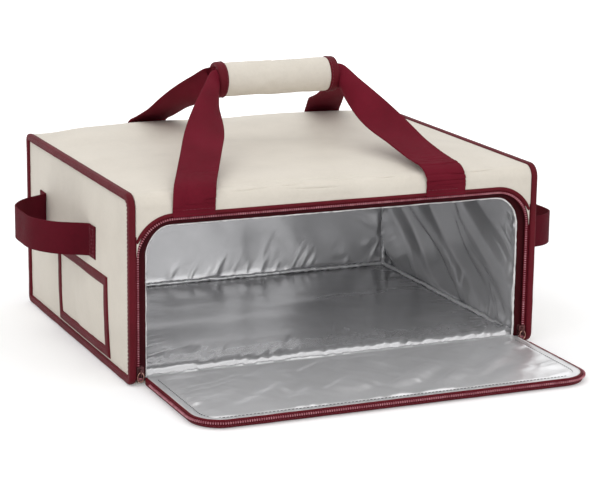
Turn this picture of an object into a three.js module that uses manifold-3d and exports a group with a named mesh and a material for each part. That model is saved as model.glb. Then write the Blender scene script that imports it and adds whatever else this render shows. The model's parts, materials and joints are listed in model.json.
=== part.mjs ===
// Insulated pizza delivery bag: padded box body, fold-down front flap on a zip, two carrying straps
// gathered in a padded grip, and a webbing handle on each side.
// Millimetres. Origin on the floor below the middle of the body, +X right, -Y front, +Z up.
import * as THREE from "three";
import { mergeVertices } from "three/addons/utils/BufferGeometryUtils.js";
import Module from "manifold-3d";

const wasm = await Module();
wasm.setup();

// Overall body
const WIDTH = 510;
const DEPTH = 400;
const SIDE_HEIGHT = 218;
const DOME = 10;
const CLEAR = 0.3;

// Wall build-up
const FABRIC = 1.4;
const FOAM = 6;
const FLOOR_FOAM = 4.5;
const LINING = 1;
const SEAM_ROD = 3;
const FOAM_CHAMFER = 3.5;

// Binding tape round the side and back panels
const BINDING_WIDTH = 9;
const BINDING_PROUD = 2.5;
const BINDING_EDGE = 4.3;
const BINDING_REACH = 7.8;
const TOP_SET_DOWN = 3;
const CORNER_TOP_FRONT = 16;
const CORNER_TOP_BACK = 9;
const CORNER_BOTTOM_BACK = 9;
const CORNER_BOTTOM_FRONT = 6;

// Zip line of the mouth, measured on the middle of the closed chain
const ZIP_INSET = 12.7;
const ZIP_TOP = 185.5;
const ZIP_RADIUS = 40;
const ZIP_SETBACK = 5;
const CHAIN_GAP = 1.4;
const CHAIN_WIDTH = 2.6;
const CHAIN_THICK = 2.4;
const TAPE_THICK = 0.8;

// Slider and ring pull
const SLIDER_HALF = 4.4;
const SLIDER_LENGTH = 13;
const SLIDER_PLATE = 1.3;
const SLIDER_FREE = 0.4;
const SLIDER_POST = 0.8;
const BRIDGE_WIDTH = 2;
const BRIDGE_LENGTH = 8;
const BRIDGE_BAR = 1.3;
const BRIDGE_ROOM = 2.8;
const RING_RADIUS = 3.7;
const RING_WIRE = 0.8;
const RING_STRETCH = 1.5;

// Front flap
const FLAP_THICK = 9;
const FLAP_BAND = 2;
const HINGE_ROLL = 3.5;
const FLAP_CHAIN_START = 25;

// Carrying straps and grip
const STRAP_WIDTH = 50;
const STRAP_THICK = 1.6;
const STRAP_GATHER = 30;
const STRAP_STEPS = 24;
const LEFT_STAND = 34;
const RIGHT_STAND = 14;
const REAR_STAND = 14;
const FRONT_LEFT_X = -179;
const FRONT_RIGHT_X = 133;
const REAR_LEFT_X = -96;
const REAR_RIGHT_X = 152;
const REAR_TAB = 46;
const GRIP_X = -1;
const GRIP_LENGTH = 156;
const GRIP_RADIUS = 20.5;
const GRIP_HEIGHT = 306;
const GRIP_BAND = 11;
const GRIP_BAND_PROUD = 0.8;
const GRIP_WRAP = 3.2;
const GRIP_FOAM = 2.4;
const STRAP_OUT = 7;

// Side handles
const HANDLE_WIDTH = 38;
const HANDLE_THICK = 1.8;
const HANDLE_LENGTH = 220;
const HANDLE_TAB = 22;
const LEFT_HANDLE_FRONT = -82;
const LEFT_HANDLE_Z = 138;
const RIGHT_HANDLE_SET = 16;
const RIGHT_HANDLE_Z = 126;
const HANDLE_BULGE = 60;
const HANDLE_ROOT = 17;
const HANDLE_STEPS = 18;

// Pocket on the left panel
const POCKET_FRONT = -124;
const POCKET_REAR = 64;
const POCKET_LOW = 12;
const POCKET_HIGH = 108;
const POCKET_BINDING = 10;
const POCKET_PROUD = 2.3;

const cream = { color: 0xddd5c4, roughness: 0.7, metalness: 0 };
const burgundy = { color: 0x5c1228, roughness: 0.75, metalness: 0 };
const foil = { color: 0xb8babc, roughness: 0.3, metalness: 0.85 };
const foamWhite = { color: 0xf1f0ea, roughness: 0.9, metalness: 0 };
const bronze = { color: 0x3b2320, roughness: 0.35, metalness: 0.9 };
const whiteTrim = { color: 0xe9e7e4, roughness: 0.5, metalness: 0 };

// Positions that follow from the sizes
const xOut = WIDTH / 2;
const xPanelOut = xOut - BINDING_PROUD - CLEAR;
const xPanelIn = xPanelOut - FABRIC;
const xFoamOut = xPanelIn - CLEAR;
const xFoamIn = xFoamOut - FOAM;
const xLiningOut = xFoamIn - CLEAR;
const xLiningIn = xLiningOut - LINING;
const xEdge = xOut - BINDING_REACH;
const xSpan = xEdge - CLEAR;

const yFront = -DEPTH / 2;
const yBack = DEPTH / 2;
const yZip = yFront + ZIP_SETBACK;
const yHeaderIn = yZip - TAPE_THICK / 2 - CLEAR;
const yHeaderOut = yHeaderIn - FABRIC;
const yBackOut = yBack - 2.8 - CLEAR;
const yBackIn = yBackOut - FABRIC;
const yFoamBackOut = yBackIn - CLEAR;
const yFoamBackIn = yFoamBackOut - FOAM;
const yLiningBackOut = yFoamBackIn - CLEAR;
const yLiningBackIn = yLiningBackOut - LINING;

const plateOut = CHAIN_THICK / 2 + SLIDER_FREE + SLIDER_PLATE;
const yFacing = yZip + plateOut + CLEAR;
const yWalls = yFacing + FABRIC + CLEAR;

const zHinge = FLAP_THICK / 2;
const yHinge = yZip - 2;
const flapStart = HINGE_ROLL + CLEAR;
const yFloor = yHinge + flapStart;

const zBottomFoam = FABRIC + CLEAR;
const zFloorUnder = zBottomFoam + FLOOR_FOAM + CLEAR;
const zFloor = zFloorUnder + LINING;
const zTopOut = SIDE_HEIGHT - TOP_SET_DOWN;
const zTopIn = zTopOut - FABRIC;
const zFoamTop = zTopIn - CLEAR;
const zFoamUnder = zFoamTop - FOAM;
const zLiningTop = zFoamUnder - CLEAR;
const zLiningUnder = zLiningTop - LINING;

const xZip = xOut - ZIP_INSET;
const gapHalf = CHAIN_GAP / 2;
const chainOut = gapHalf + CHAIN_WIDTH;
const bandOut = -(SLIDER_HALF + 0.4);
const bandIn = bandOut - FLAP_BAND;
const flapEdge = bandIn - CLEAR;
const facingOut = xFoamOut - xZip;
const facingIn = -6.3;

const group = new THREE.Group();
group.name = "pizza_delivery_bag";

function add(name, geometry, look) {
  const mesh = new THREE.Mesh(geometry, new THREE.MeshStandardMaterial(look));
  mesh.name = name;
  group.add(mesh);
}

// Builds a closed body from points and triangles, with its faces turned outwards
function solid(points, triangles) {
  let volume = 0;
  for (const [a, b, c] of triangles) {
    const [p, q, r] = [points[a], points[b], points[c]];
    volume += p[0] * (q[1] * r[2] - q[2] * r[1]);
    volume += p[1] * (q[2] * r[0] - q[0] * r[2]);
    volume += p[2] * (q[0] * r[1] - q[1] * r[0]);
  }
  const turned = volume < 0 ? triangles.map(([a, b, c]) => [a, c, b]) : triangles;
  const geometry = new THREE.BufferGeometry();
  geometry.setAttribute("position", new THREE.Float32BufferAttribute(points.flat(), 3));
  geometry.setIndex(turned.flat());
  geometry.computeVertexNormals();
  return geometry;
}

function block(x0, x1, y0, y1, z0, z1) {
  const geometry = new THREE.BoxGeometry(x1 - x0, y1 - y0, z1 - z0);
  geometry.translate((x0 + x1) / 2, (y0 + y1) / 2, (z0 + z1) / 2);
  return geometry;
}

function toShape(points, holes = []) {
  const shape = new THREE.Shape(points.map(([a, b]) => new THREE.Vector2(a, b)));
  for (const hole of holes) {
    shape.holes.push(new THREE.Path(hole.map(([a, b]) => new THREE.Vector2(a, b))));
  }
  return shape;
}

// Outline in (x, z), carried along y
function alongY(points, y0, y1, holes = []) {
  const geometry = new THREE.ExtrudeGeometry(toShape(points, holes), {
    depth: y1 - y0,
    bevelEnabled: false,
  });
  const basis = new THREE.Matrix4();
  basis.makeBasis(new THREE.Vector3(1, 0, 0), new THREE.Vector3(0, 0, 1), new THREE.Vector3(0, -1, 0));
  geometry.applyMatrix4(basis);
  geometry.translate(0, y1, 0);
  return geometry;
}

// Outline in (y, z), carried along x
function alongX(points, x0, x1, holes = []) {
  const geometry = new THREE.ExtrudeGeometry(toShape(points, holes), {
    depth: x1 - x0,
    bevelEnabled: false,
  });
  const basis = new THREE.Matrix4();
  basis.makeBasis(new THREE.Vector3(0, 1, 0), new THREE.Vector3(0, 0, 1), new THREE.Vector3(1, 0, 0));
  geometry.applyMatrix4(basis);
  geometry.translate(x0, 0, 0);
  return geometry;
}

function toManifold(geometry) {
  const bare = geometry.clone();
  bare.deleteAttribute("normal");
  bare.deleteAttribute("uv");
  const merged = mergeVertices(bare, 1e-4);
  const vertProperties = Float32Array.from(merged.attributes.position.array);
  const triVerts = Uint32Array.from(merged.index.array);
  return new wasm.Manifold(new wasm.Mesh({ numProp: 3, vertProperties, triVerts }));
}

function fromManifold(body) {
  const mesh = body.getMesh();
  const geometry = new THREE.BufferGeometry();
  const positions = new Float32Array(mesh.numVert * 3);
  for (let i = 0; i < mesh.numVert; i += 1) {
    for (let k = 0; k < 3; k += 1) {
      positions[i * 3 + k] = mesh.vertProperties[i * mesh.numProp + k];
    }
  }
  geometry.setAttribute("position", new THREE.BufferAttribute(positions, 3));
  geometry.setIndex(Array.from(mesh.triVerts));
  geometry.computeVertexNormals();
  return geometry;
}

function join(...geometries) {
  const bodies = geometries.map(toManifold);
  return fromManifold(bodies.reduce((a, b) => a.add(b)));
}

function mirrored(geometry) {
  const copy = geometry.index ? geometry.toNonIndexed() : geometry.clone();
  const p = copy.attributes.position;
  for (let i = 0; i < p.count; i += 3) {
    const [x1, y1, z1] = [p.getX(i + 1), p.getY(i + 1), p.getZ(i + 1)];
    const [x2, y2, z2] = [p.getX(i + 2), p.getY(i + 2), p.getZ(i + 2)];
    p.setX(i, -p.getX(i));
    p.setXYZ(i + 1, -x2, y2, z2);
    p.setXYZ(i + 2, -x1, y1, z1);
  }
  copy.computeVertexNormals();
  return copy;
}

function arc(cx, cy, radius, from, to, steps) {
  const points = [];
  for (let i = 0; i <= steps; i += 1) {
    const angle = ((from + ((to - from) * i) / steps) * Math.PI) / 180;
    points.push([cx + radius * Math.cos(angle), cy + radius * Math.sin(angle)]);
  }
  return points;
}

// Side view of the body, drawn in by an inset
function sideOutline(inset) {
  const [y0, y1, z0, z1] = [yFront + inset, yBack - inset, inset, SIDE_HEIGHT - inset];
  const round = (radius) => Math.max(radius - inset, 1);
  const rbf = round(CORNER_BOTTOM_FRONT);
  const rbb = round(CORNER_BOTTOM_BACK);
  const rtb = round(CORNER_TOP_BACK);
  const rtf = round(CORNER_TOP_FRONT);
  return [
    ...arc(y0 + rbf, z0 + rbf, rbf, 180, 270, 3),
    ...arc(y1 - rbb, z0 + rbb, rbb, 270, 360, 3),
    ...arc(y1 - rtb, z1 - rtb, rtb, 0, 90, 3),
    ...arc(y0 + rtf, z1 - rtf, rtf, 90, 180, 5),
  ];
}

// Arch that follows the zip line at a given distance outside it
function arch(offset, zLow) {
  const half = xZip + offset;
  const top = ZIP_TOP + offset;
  const radius = ZIP_RADIUS + offset;
  return [
    [half, zLow],
    ...arc(half - radius, top - radius, radius, 0, 90, 6),
    ...arc(-half + radius, top - radius, radius, 90, 180, 6),
    [-half, zLow],
  ];
}

// Band between two distances from the zip line
function archBand(inner, outer, zLow, y0, y1) {
  return alongY([...arch(outer, zLow), ...arch(inner, zLow).reverse()], y0, y1);
}

// Sheet with thickness: rows along a front-to-back profile, columns across the width
function sheet(half, columns, outer, inner, lift) {
  const points = [];
  for (const profile of [outer, inner]) {
    for (const [y, z, share] of profile) {
      for (let c = 0; c <= columns; c += 1) {
        const x = Math.max(-half, Math.min(half, xSpan * ((2 * c) / columns - 1)));
        points.push([x, y, z + share * lift(x, y)]);
      }
    }
  }
  const rows = outer.length;
  const at = (layer, r, c) => layer * rows * (columns + 1) + r * (columns + 1) + c;
  const triangles = [];
  const quad = (a, b, c, d) => triangles.push([a, b, c], [a, c, d]);
  for (let r = 0; r < rows - 1; r += 1) {
    for (let c = 0; c < columns; c += 1) {
      quad(at(0, r, c), at(0, r, c + 1), at(0, r + 1, c + 1), at(0, r + 1, c));
      quad(at(1, r, c), at(1, r + 1, c), at(1, r + 1, c + 1), at(1, r, c + 1));
    }
    quad(at(0, r, 0), at(0, r + 1, 0), at(1, r + 1, 0), at(1, r, 0));
    quad(at(0, r, columns), at(1, r, columns), at(1, r + 1, columns), at(0, r + 1, columns));
  }
  for (let c = 0; c < columns; c += 1) {
    const last = rows - 1;
    quad(at(0, 0, c), at(1, 0, c), at(1, 0, c + 1), at(0, 0, c + 1));
    quad(at(0, last, c), at(0, last, c + 1), at(1, last, c + 1), at(1, last, c));
  }
  return solid(points, triangles);
}

// Webbing: a flat strip through a row of sections, each with its centre, width direction and width
function webbing(sections, thickness) {
  const points = [];
  const triangles = [];
  const vector = (a) => new THREE.Vector3(...a);
  sections.forEach((section, i) => {
    const before = vector(sections[Math.max(i - 1, 0)].centre);
    const after = vector(sections[Math.min(i + 1, sections.length - 1)].centre);
    const tangent = section.along ? vector(section.along) : after.sub(before).normalize();
    const across = vector(section.across);
    across.addScaledVector(tangent, -across.dot(tangent)).normalize();
    const normal = tangent.clone().cross(across);
    for (const [s, t] of [[-1, -1], [1, -1], [1, 1], [-1, 1]]) {
      const p = vector(section.centre);
      p.addScaledVector(across, (s * section.width) / 2);
      p.addScaledVector(normal, (t * thickness) / 2);
      points.push(p.toArray());
    }
  });
  for (let i = 0; i < sections.length - 1; i += 1) {
    for (let k = 0; k < 4; k += 1) {
      const [a, b] = [i * 4 + k, i * 4 + ((k + 1) % 4)];
      // both faces fold along the same diagonal, so a twisted strip keeps its thickness
      if (k === 2) {
        triangles.push([a, b, a + 4], [b, b + 4, a + 4]);
      } else {
        triangles.push([a, b, b + 4], [a, b + 4, a + 4]);
      }
    }
  }
  const end = (sections.length - 1) * 4;
  triangles.push([0, 2, 1], [0, 3, 2]);
  triangles.push([end, end + 1, end + 2], [end, end + 2, end + 3]);
  return solid(points, triangles);
}

// Outer fabric
const yRoll = yHeaderOut + CORNER_TOP_FRONT - TOP_SET_DOWN;
const crown = (v) => 1 - Math.abs(v) ** 3;
const yMid = (yRoll + yBackOut) / 2;
const yReach = (yBackOut - yRoll) / 2;
function lift(x, y) {
  const v = Math.min(Math.abs((y - yMid) / yReach), 1);
  return DOME * crown(Math.min(Math.abs(x / xSpan), 1)) * crown(v);
}
const CROWN_ROWS = 9;
const CROWN_COLUMNS = 12;
const END_SHARE = 0.5;
const FOAM_SHARE = 0.94;
function crownRow(i) {
  return yBackOut + ((yRoll - yBackOut) * i) / CROWN_ROWS;
}
function topProfile(zFlat, drawnIn) {
  const profile = [];
  for (let i = 0; i <= CROWN_ROWS; i += 1) {
    profile.push([crownRow(i), zFlat, 1]);
  }
  const radius = CORNER_TOP_FRONT - TOP_SET_DOWN - drawnIn;
  for (const [y, z] of arc(yRoll, zFlat - radius, radius, 90, 180, 4).slice(1)) {
    profile.push([y, z, 0]);
  }
  return profile;
}
const topOuter = topProfile(zTopOut, 0);
const topInner = topProfile(zTopIn, FABRIC);
add("top_panel", sheet(xSpan, CROWN_COLUMNS, topOuter, topInner, lift), cream);
const zHeaderTop = zTopOut - (CORNER_TOP_FRONT - TOP_SET_DOWN) - CLEAR;
const zHeaderLow = ZIP_TOP - ZIP_RADIUS;
add("front_header", alongY([
  [xSpan, zHeaderLow],
  [xSpan, zHeaderTop],
  [-xSpan, zHeaderTop],
  [-xSpan, zHeaderLow],
  ...arch(chainOut + CLEAR, zHeaderLow).slice(1, -1).reverse(),
], yHeaderOut, yHeaderIn), cream);
const sidePanel = alongX(sideOutline(BINDING_EDGE + CLEAR), xPanelIn, xPanelOut);
add("right_side_panel", sidePanel, cream);
add("left_side_panel", mirrored(sidePanel), cream);
add("back_panel", block(-xSpan, xSpan, yBackIn, yBackOut, FABRIC + CLEAR, zFoamTop), cream);
add("bottom_panel", block(-xSpan, xSpan, yFloor, yBackOut, 0, FABRIC), cream);

// Binding tape: an outer flange on the side panel and a wall round its edge
const sideBinding = join(
  alongX(sideOutline(0), xEdge, xOut, [sideOutline(BINDING_EDGE)]),
  alongX(sideOutline(0), xOut - BINDING_PROUD, xOut, [sideOutline(BINDING_WIDTH)]),
);
add("right_binding", sideBinding, burgundy);
add("left_binding", mirrored(sideBinding), burgundy);
function frame(x0, x1, z0, z1, inset) {
  const [a, b, c, d] = [x0 + inset, x1 - inset, z0 + inset, z1 - inset];
  return [[a, c], [b, c], [b, d], [a, d]];
}
add("back_binding", alongY(frame(-xSpan, xSpan, 0, zTopOut, 0), yBackOut + CLEAR, yBack,
  [frame(-xSpan, xSpan, 0, zTopOut, BINDING_WIDTH)]), burgundy);

// Insulating foam
const sideFoam = alongX([
  [yWalls, zFloorUnder],
  [yFoamBackOut - FOAM_CHAMFER, zFloorUnder],
  [yFoamBackOut, zFloorUnder + FOAM_CHAMFER],
  [yFoamBackOut, zFoamTop - FOAM_CHAMFER],
  [yFoamBackOut - FOAM_CHAMFER, zFoamTop],
  [yRoll + 1, zFoamTop],
  [yWalls, zFoamTop - CORNER_TOP_FRONT / 3],
], xFoamIn, xFoamOut);
add("right_foam", sideFoam, foamWhite);
add("left_foam", mirrored(sideFoam), foamWhite);
add("back_foam", block(-xLiningOut, xLiningOut, yFoamBackIn, yFoamBackOut, zFloorUnder, zFoamTop),
  foamWhite);
add("bottom_foam", block(-xSpan, xSpan, yFloor, yFoamBackOut, zBottomFoam, zBottomFoam + FLOOR_FOAM),
  foamWhite);
// Foam crowned on top and flat below
function slabProfile(z, y0, y1, share) {
  const profile = [];
  for (let i = 0; i <= CROWN_ROWS; i += 1) {
    const end = i === 0 || i === CROWN_ROWS;
    profile.push([Math.max(y0, Math.min(y1, crownRow(i))), z, end ? share * END_SHARE : share]);
  }
  return profile;
}
const yFoamTop = yRoll + 1;
const foamOuter = slabProfile(zFoamTop, yFoamTop, yLiningBackOut, FOAM_SHARE);
const foamInner = slabProfile(zFoamUnder, yFoamTop, yLiningBackOut, 0);
add("top_foam", sheet(xLiningOut, CROWN_COLUMNS, foamOuter, foamInner, lift), foamWhite);

// Foil lining with its corner seams
const xFloorHalf = xLiningIn - CLEAR;
const yLiningEnd = yLiningBackIn - CLEAR;
const sideLining = block(xLiningIn, xLiningOut, yWalls, yLiningBackOut, zFloorUnder, zLiningTop);
add("right_lining", sideLining, foil);
add("left_lining", mirrored(sideLining), foil);
add("back_lining", block(-xFloorHalf, xFloorHalf, yLiningBackIn, yLiningBackOut, zFloorUnder, zLiningTop),
  foil);
add("floor_lining", block(-xFloorHalf, xFloorHalf, yFloor, yLiningEnd, zFloorUnder, zFloor), foil);
add("top_lining", block(-xFloorHalf, xFloorHalf, yWalls, yLiningEnd, zLiningUnder, zLiningTop), foil);
const seamLow = zFloor + CLEAR;
const seamHigh = seamLow + SEAM_ROD;
const seamX = xFloorHalf - SEAM_ROD;
const seamY = yLiningEnd - SEAM_ROD;
const floorSeam = block(seamX, xFloorHalf, yWalls, yLiningEnd, seamLow, seamHigh);
add("floor_seam", join(
  block(-xFloorHalf, xFloorHalf, seamY, yLiningEnd, seamLow, seamHigh),
  floorSeam,
  mirrored(floorSeam),
), foil);
const cornerSeam = block(seamX, xFloorHalf, seamY, yLiningEnd, seamHigh + CLEAR, zLiningUnder - CLEAR);
add("corner_seam_right", cornerSeam, foil);
add("corner_seam_left", mirrored(cornerSeam), foil);

// Mouth: facing behind the zip, rolled edge, tape, chain and end stops
const facingLow = zFloor + CLEAR;
add("opening_facing", join(
  archBand(facingIn, facingOut, facingLow, yFacing, yFacing + FABRIC),
  archBand(facingOut - 3, facingOut, facingLow, yZip + TAPE_THICK / 2 + CLEAR, yFacing + FABRIC),
), burgundy);
const pipingOut = facingIn - CLEAR;
add("facing_piping", archBand(pipingOut - 2.4, pipingOut, facingLow, yFacing - 0.4, yFacing + 2),
  whiteTrim);
const tapeLow = BINDING_EDGE + 2;
add("body_zip_tape", archBand(chainOut + CLEAR, facingOut, tapeLow, yZip - TAPE_THICK / 2,
  yZip + TAPE_THICK / 2), burgundy);
const stopHigh = zHinge + flapStart;
const stopLow = stopHigh - 3;
add("body_zip_chain", archBand(gapHalf, chainOut, stopHigh + CLEAR, yZip - CHAIN_THICK / 2,
  yZip + CHAIN_THICK / 2), burgundy);
const zipStop = block(xZip - chainOut, xZip + chainOut, yZip - 1.6, yZip + 1.6, stopLow, stopHigh);
add("right_zip_stop", zipStop, burgundy);
add("left_zip_stop", mirrored(zipStop), burgundy);

// Slider with its bridge, and the ring pull through the bridge
const sliderLow = stopHigh + CLEAR;
const sliderHigh = sliderLow + SLIDER_LENGTH;
const sliderMid = (sliderLow + sliderHigh) / 2;
const plateIn = plateOut - SLIDER_PLATE;
const bridgeFoot = yZip - plateOut;
const bridgeTop = bridgeFoot - BRIDGE_ROOM;
const bridgeHalf = BRIDGE_LENGTH / 2;
const bridge0 = xZip - BRIDGE_WIDTH / 2;
const bridge1 = xZip + BRIDGE_WIDTH / 2;
const slider = join(
  block(xZip - SLIDER_HALF, xZip + SLIDER_HALF, yZip - plateOut, yZip - plateIn, sliderLow, sliderHigh),
  block(xZip - SLIDER_HALF, xZip + SLIDER_HALF, yZip + plateIn, yZip + plateOut, sliderLow, sliderHigh),
  block(xZip - SLIDER_POST / 2, xZip + SLIDER_POST / 2, yZip - plateOut + 0.2, yZip + plateOut - 0.2,
    sliderHigh - 4, sliderHigh - 0.5),
  block(bridge0, bridge1, bridgeTop - BRIDGE_BAR, bridgeTop, sliderMid - bridgeHalf,
    sliderMid + bridgeHalf),
  block(bridge0, bridge1, bridgeTop - 0.2, bridgeFoot + 0.2, sliderMid - bridgeHalf,
    sliderMid - bridgeHalf + BRIDGE_BAR),
  block(bridge0, bridge1, bridgeTop - 0.2, bridgeFoot + 0.2, sliderMid + bridgeHalf - BRIDGE_BAR,
    sliderMid + bridgeHalf),
);
add("right_slider", slider, bronze);
add("left_slider", mirrored(slider), bronze);
const ring = new THREE.TorusGeometry(RING_RADIUS, RING_WIRE, 6, 20);
ring.rotateX(Math.PI / 2);
ring.scale(1, 1, RING_STRETCH);
ring.translate(xZip, (bridgeFoot + bridgeTop) / 2, sliderMid - RING_RADIUS * RING_STRETCH);
add("right_pull", ring, bronze);
add("left_pull", mirrored(ring), bronze);

// Front flap, drawn closed in the mouth and laid open about the hinge line
const opened = new THREE.Matrix4();
opened.makeTranslation(0, yHinge, zHinge);
opened.multiply(new THREE.Matrix4().makeRotationX(Math.PI / 2));
opened.multiply(new THREE.Matrix4().makeTranslation(0, -yHinge, -zHinge));
function laidOpen(geometry) {
  return geometry.applyMatrix4(opened);
}
const flapLow = zHinge + flapStart;
const flapOuter = yHinge - FLAP_THICK / 2;
const flapInner = yHinge + FLAP_THICK / 2;
const flapPad = (y0, y1) => laidOpen(alongY(arch(flapEdge, flapLow), y0, y1));
add("flap_panel", flapPad(flapOuter, flapOuter + FABRIC), cream);
add("flap_foam", flapPad(flapOuter + FABRIC + CLEAR, flapInner - LINING - CLEAR), foamWhite);
add("flap_lining", flapPad(flapInner - LINING, flapInner), foil);
const chainLow = zHinge + FLAP_CHAIN_START;
add("flap_edge_band", laidOpen(join(
  archBand(bandIn, bandOut, flapLow, flapOuter, flapInner),
  archBand(bandIn + 0.5, -chainOut - CLEAR, chainLow, yZip - TAPE_THICK / 2, yZip + TAPE_THICK / 2),
)), burgundy);
add("flap_zip_chain", laidOpen(archBand(-chainOut, -gapHalf, chainLow,
  yZip - CHAIN_THICK / 2, yZip + CHAIN_THICK / 2)), burgundy);
const rollHalf = xZip + bandIn;
add("hinge_seam", alongX(arc(yHinge, zHinge, HINGE_ROLL, 0, 345, 23), -rollHalf, rollHalf), foil);

// Carrying straps: sewn ends on the body, free legs, and the run inside the grip
const gripFrom = GRIP_X - GRIP_LENGTH / 2;
const gripTo = GRIP_X + GRIP_LENGTH / 2;
const tubeOut = GRIP_RADIUS - GRIP_WRAP - CLEAR - GRIP_FOAM - CLEAR;
const tubeIn = tubeOut - STRAP_THICK;
const tubeMid = (tubeOut + tubeIn) / 2;
const yFrontStrap = yHeaderOut - CLEAR - STRAP_THICK / 2;
const yRearStrap = yBack + CLEAR + STRAP_THICK / 2;
const zFrontTab = ZIP_TOP + chainOut + CLEAR;
const zFrontTabTop = SIDE_HEIGHT - CORNER_TOP_FRONT + 2;
const level = [1, 0, 0];
function straight(points, across, width) {
  return points.map((centre) => ({ centre, across, width }));
}
function frontTab(x) {
  return webbing(straight([[x, yFrontStrap, zFrontTab], [x, yFrontStrap, zFrontTabTop]], level,
    STRAP_WIDTH), STRAP_THICK);
}
function rearTab(x) {
  const yLow = yBackOut + CLEAR + STRAP_THICK / 2;
  const zBinding = zTopOut - BINDING_WIDTH;
  return webbing(straight([
    [x, yLow, zBinding - REAR_TAB],
    [x, yLow, zBinding - 8],
    [x, yRearStrap, zBinding - 2],
    [x, yRearStrap, zTopOut],
  ], level, STRAP_WIDTH), STRAP_THICK);
}
// A leg stands up from its sewn end, leans over and gathers into the end of the grip; share is how
// much of its remaining height it has gained half way along
function leg(x, y, zLow, rise, share, end) {
  const side = Math.sign(x);
  const zStand = zLow + rise;
  const inward = Math.sign(-y);
  const knots = [
    [x, y, zLow],
    [x, y, zLow + rise * 0.5],
    [x + (end - x) * 0.07, y + inward * 10, zStand],
    [x + (end - x) * 0.5, y * 0.52, zStand + (GRIP_HEIGHT - zStand) * share],
    [end + side * 12, -inward * (tubeMid + 10), GRIP_HEIGHT - 8],
    [end, -inward * tubeMid, GRIP_HEIGHT],
  ].map((p) => new THREE.Vector3(...p));
  const curve = new THREE.CatmullRomCurve3(knots, false, "centripetal");
  const upright = new THREE.Vector3(0, 0, side);
  const sections = [];
  for (let i = 0; i <= STRAP_STEPS; i += 1) {
    const t = i / STRAP_STEPS;
    const turn = Math.min(Math.max((t - 0.3) / 0.62, 0), 1) ** 1.6;
    const across = new THREE.Vector3(...level).lerp(upright, turn).normalize();
    const width = STRAP_WIDTH + (STRAP_GATHER - STRAP_WIDTH) * turn;
    sections.push({ centre: curve.getPointAt(t).toArray(), across: across.toArray(), width });
  }
  sections[0].along = [0, 0, 1];
  sections[STRAP_STEPS].along = [-side, 0, 0];
  return webbing(sections, STRAP_THICK);
}
const leftEnd = gripFrom - STRAP_OUT - CLEAR;
const rightEnd = gripTo + STRAP_OUT + CLEAR;
const legs = [
  ["front_left", FRONT_LEFT_X, LEFT_STAND, 0.52, leftEnd],
  ["front_right", FRONT_RIGHT_X, RIGHT_STAND, 0.27, rightEnd],
  ["rear_left", REAR_LEFT_X, REAR_STAND, 0.5, leftEnd],
  ["rear_right", REAR_RIGHT_X, REAR_STAND, 0.5, rightEnd],
];
for (const [place, x, rise, share, end] of legs) {
  const front = place.startsWith("front");
  const y = front ? yFrontStrap : yRearStrap;
  const zLow = (front ? zFrontTabTop : zTopOut) + CLEAR;
  add(`${place}_strap_end`, front ? frontTab(x) : rearTab(x), burgundy);
  add(`${place}_strap`, leg(x, y, zLow, rise, share, end), burgundy);
}
function halfTube(outer, inner, from, to) {
  return [
    ...arc(0, GRIP_HEIGHT, outer, from, to, 10),
    ...arc(0, GRIP_HEIGHT, inner, from, to, 10).reverse(),
  ];
}
const runFrom = gripFrom - STRAP_OUT;
const runTo = gripTo + STRAP_OUT;
add("front_strap_run", alongX(halfTube(tubeOut, tubeIn, 95, 265), runFrom, runTo), burgundy);
add("rear_strap_run", alongX(halfTube(tubeOut, tubeIn, -85, 85), runFrom, runTo), burgundy);

// Grip sleeve
const circle = (radius) => arc(0, GRIP_HEIGHT, radius, 0, 345, 23);
const foamOut = tubeOut + CLEAR + GRIP_FOAM;
const sleeveFrom = gripFrom + GRIP_BAND + CLEAR;
const sleeveTo = gripTo - GRIP_BAND - CLEAR;
add("grip_foam", alongX(circle(foamOut), sleeveFrom, sleeveTo, [circle(tubeOut + CLEAR)]), foamWhite);
add("grip_sleeve", alongX(circle(GRIP_RADIUS), sleeveFrom, sleeveTo, [circle(foamOut + CLEAR)]), cream);
const bandRadius = GRIP_RADIUS + GRIP_BAND_PROUD;
const bandHole = [circle(tubeOut + CLEAR)];
add("left_grip_band", alongX(circle(bandRadius), gripFrom, gripFrom + GRIP_BAND, bandHole), burgundy);
add("right_grip_band", alongX(circle(bandRadius), gripTo - GRIP_BAND, gripTo, bandHole), burgundy);

// Side handles: two sewn ends that stand off the panel, and the loop between them
const xTab = xPanelOut + CLEAR + HANDLE_THICK / 2;
const upright = [0, 0, 1];
const handleSpan = HANDLE_LENGTH - 2 * HANDLE_TAB;
const handleReach = HANDLE_BULGE - BINDING_PROUD;
// Distance along the curve, from either end, where it stands a given distance off the panel
function standOff(curve, distance, fromRear) {
  let [low, high] = [0, 0.5];
  for (let i = 0; i < 40; i += 1) {
    const middle = (low + high) / 2;
    if (curve.getPoint(fromRear ? 1 - middle : middle).x - xTab < distance) {
      low = middle;
    } else {
      high = middle;
    }
  }
  return fromRear ? 1 - low : low;
}
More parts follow.
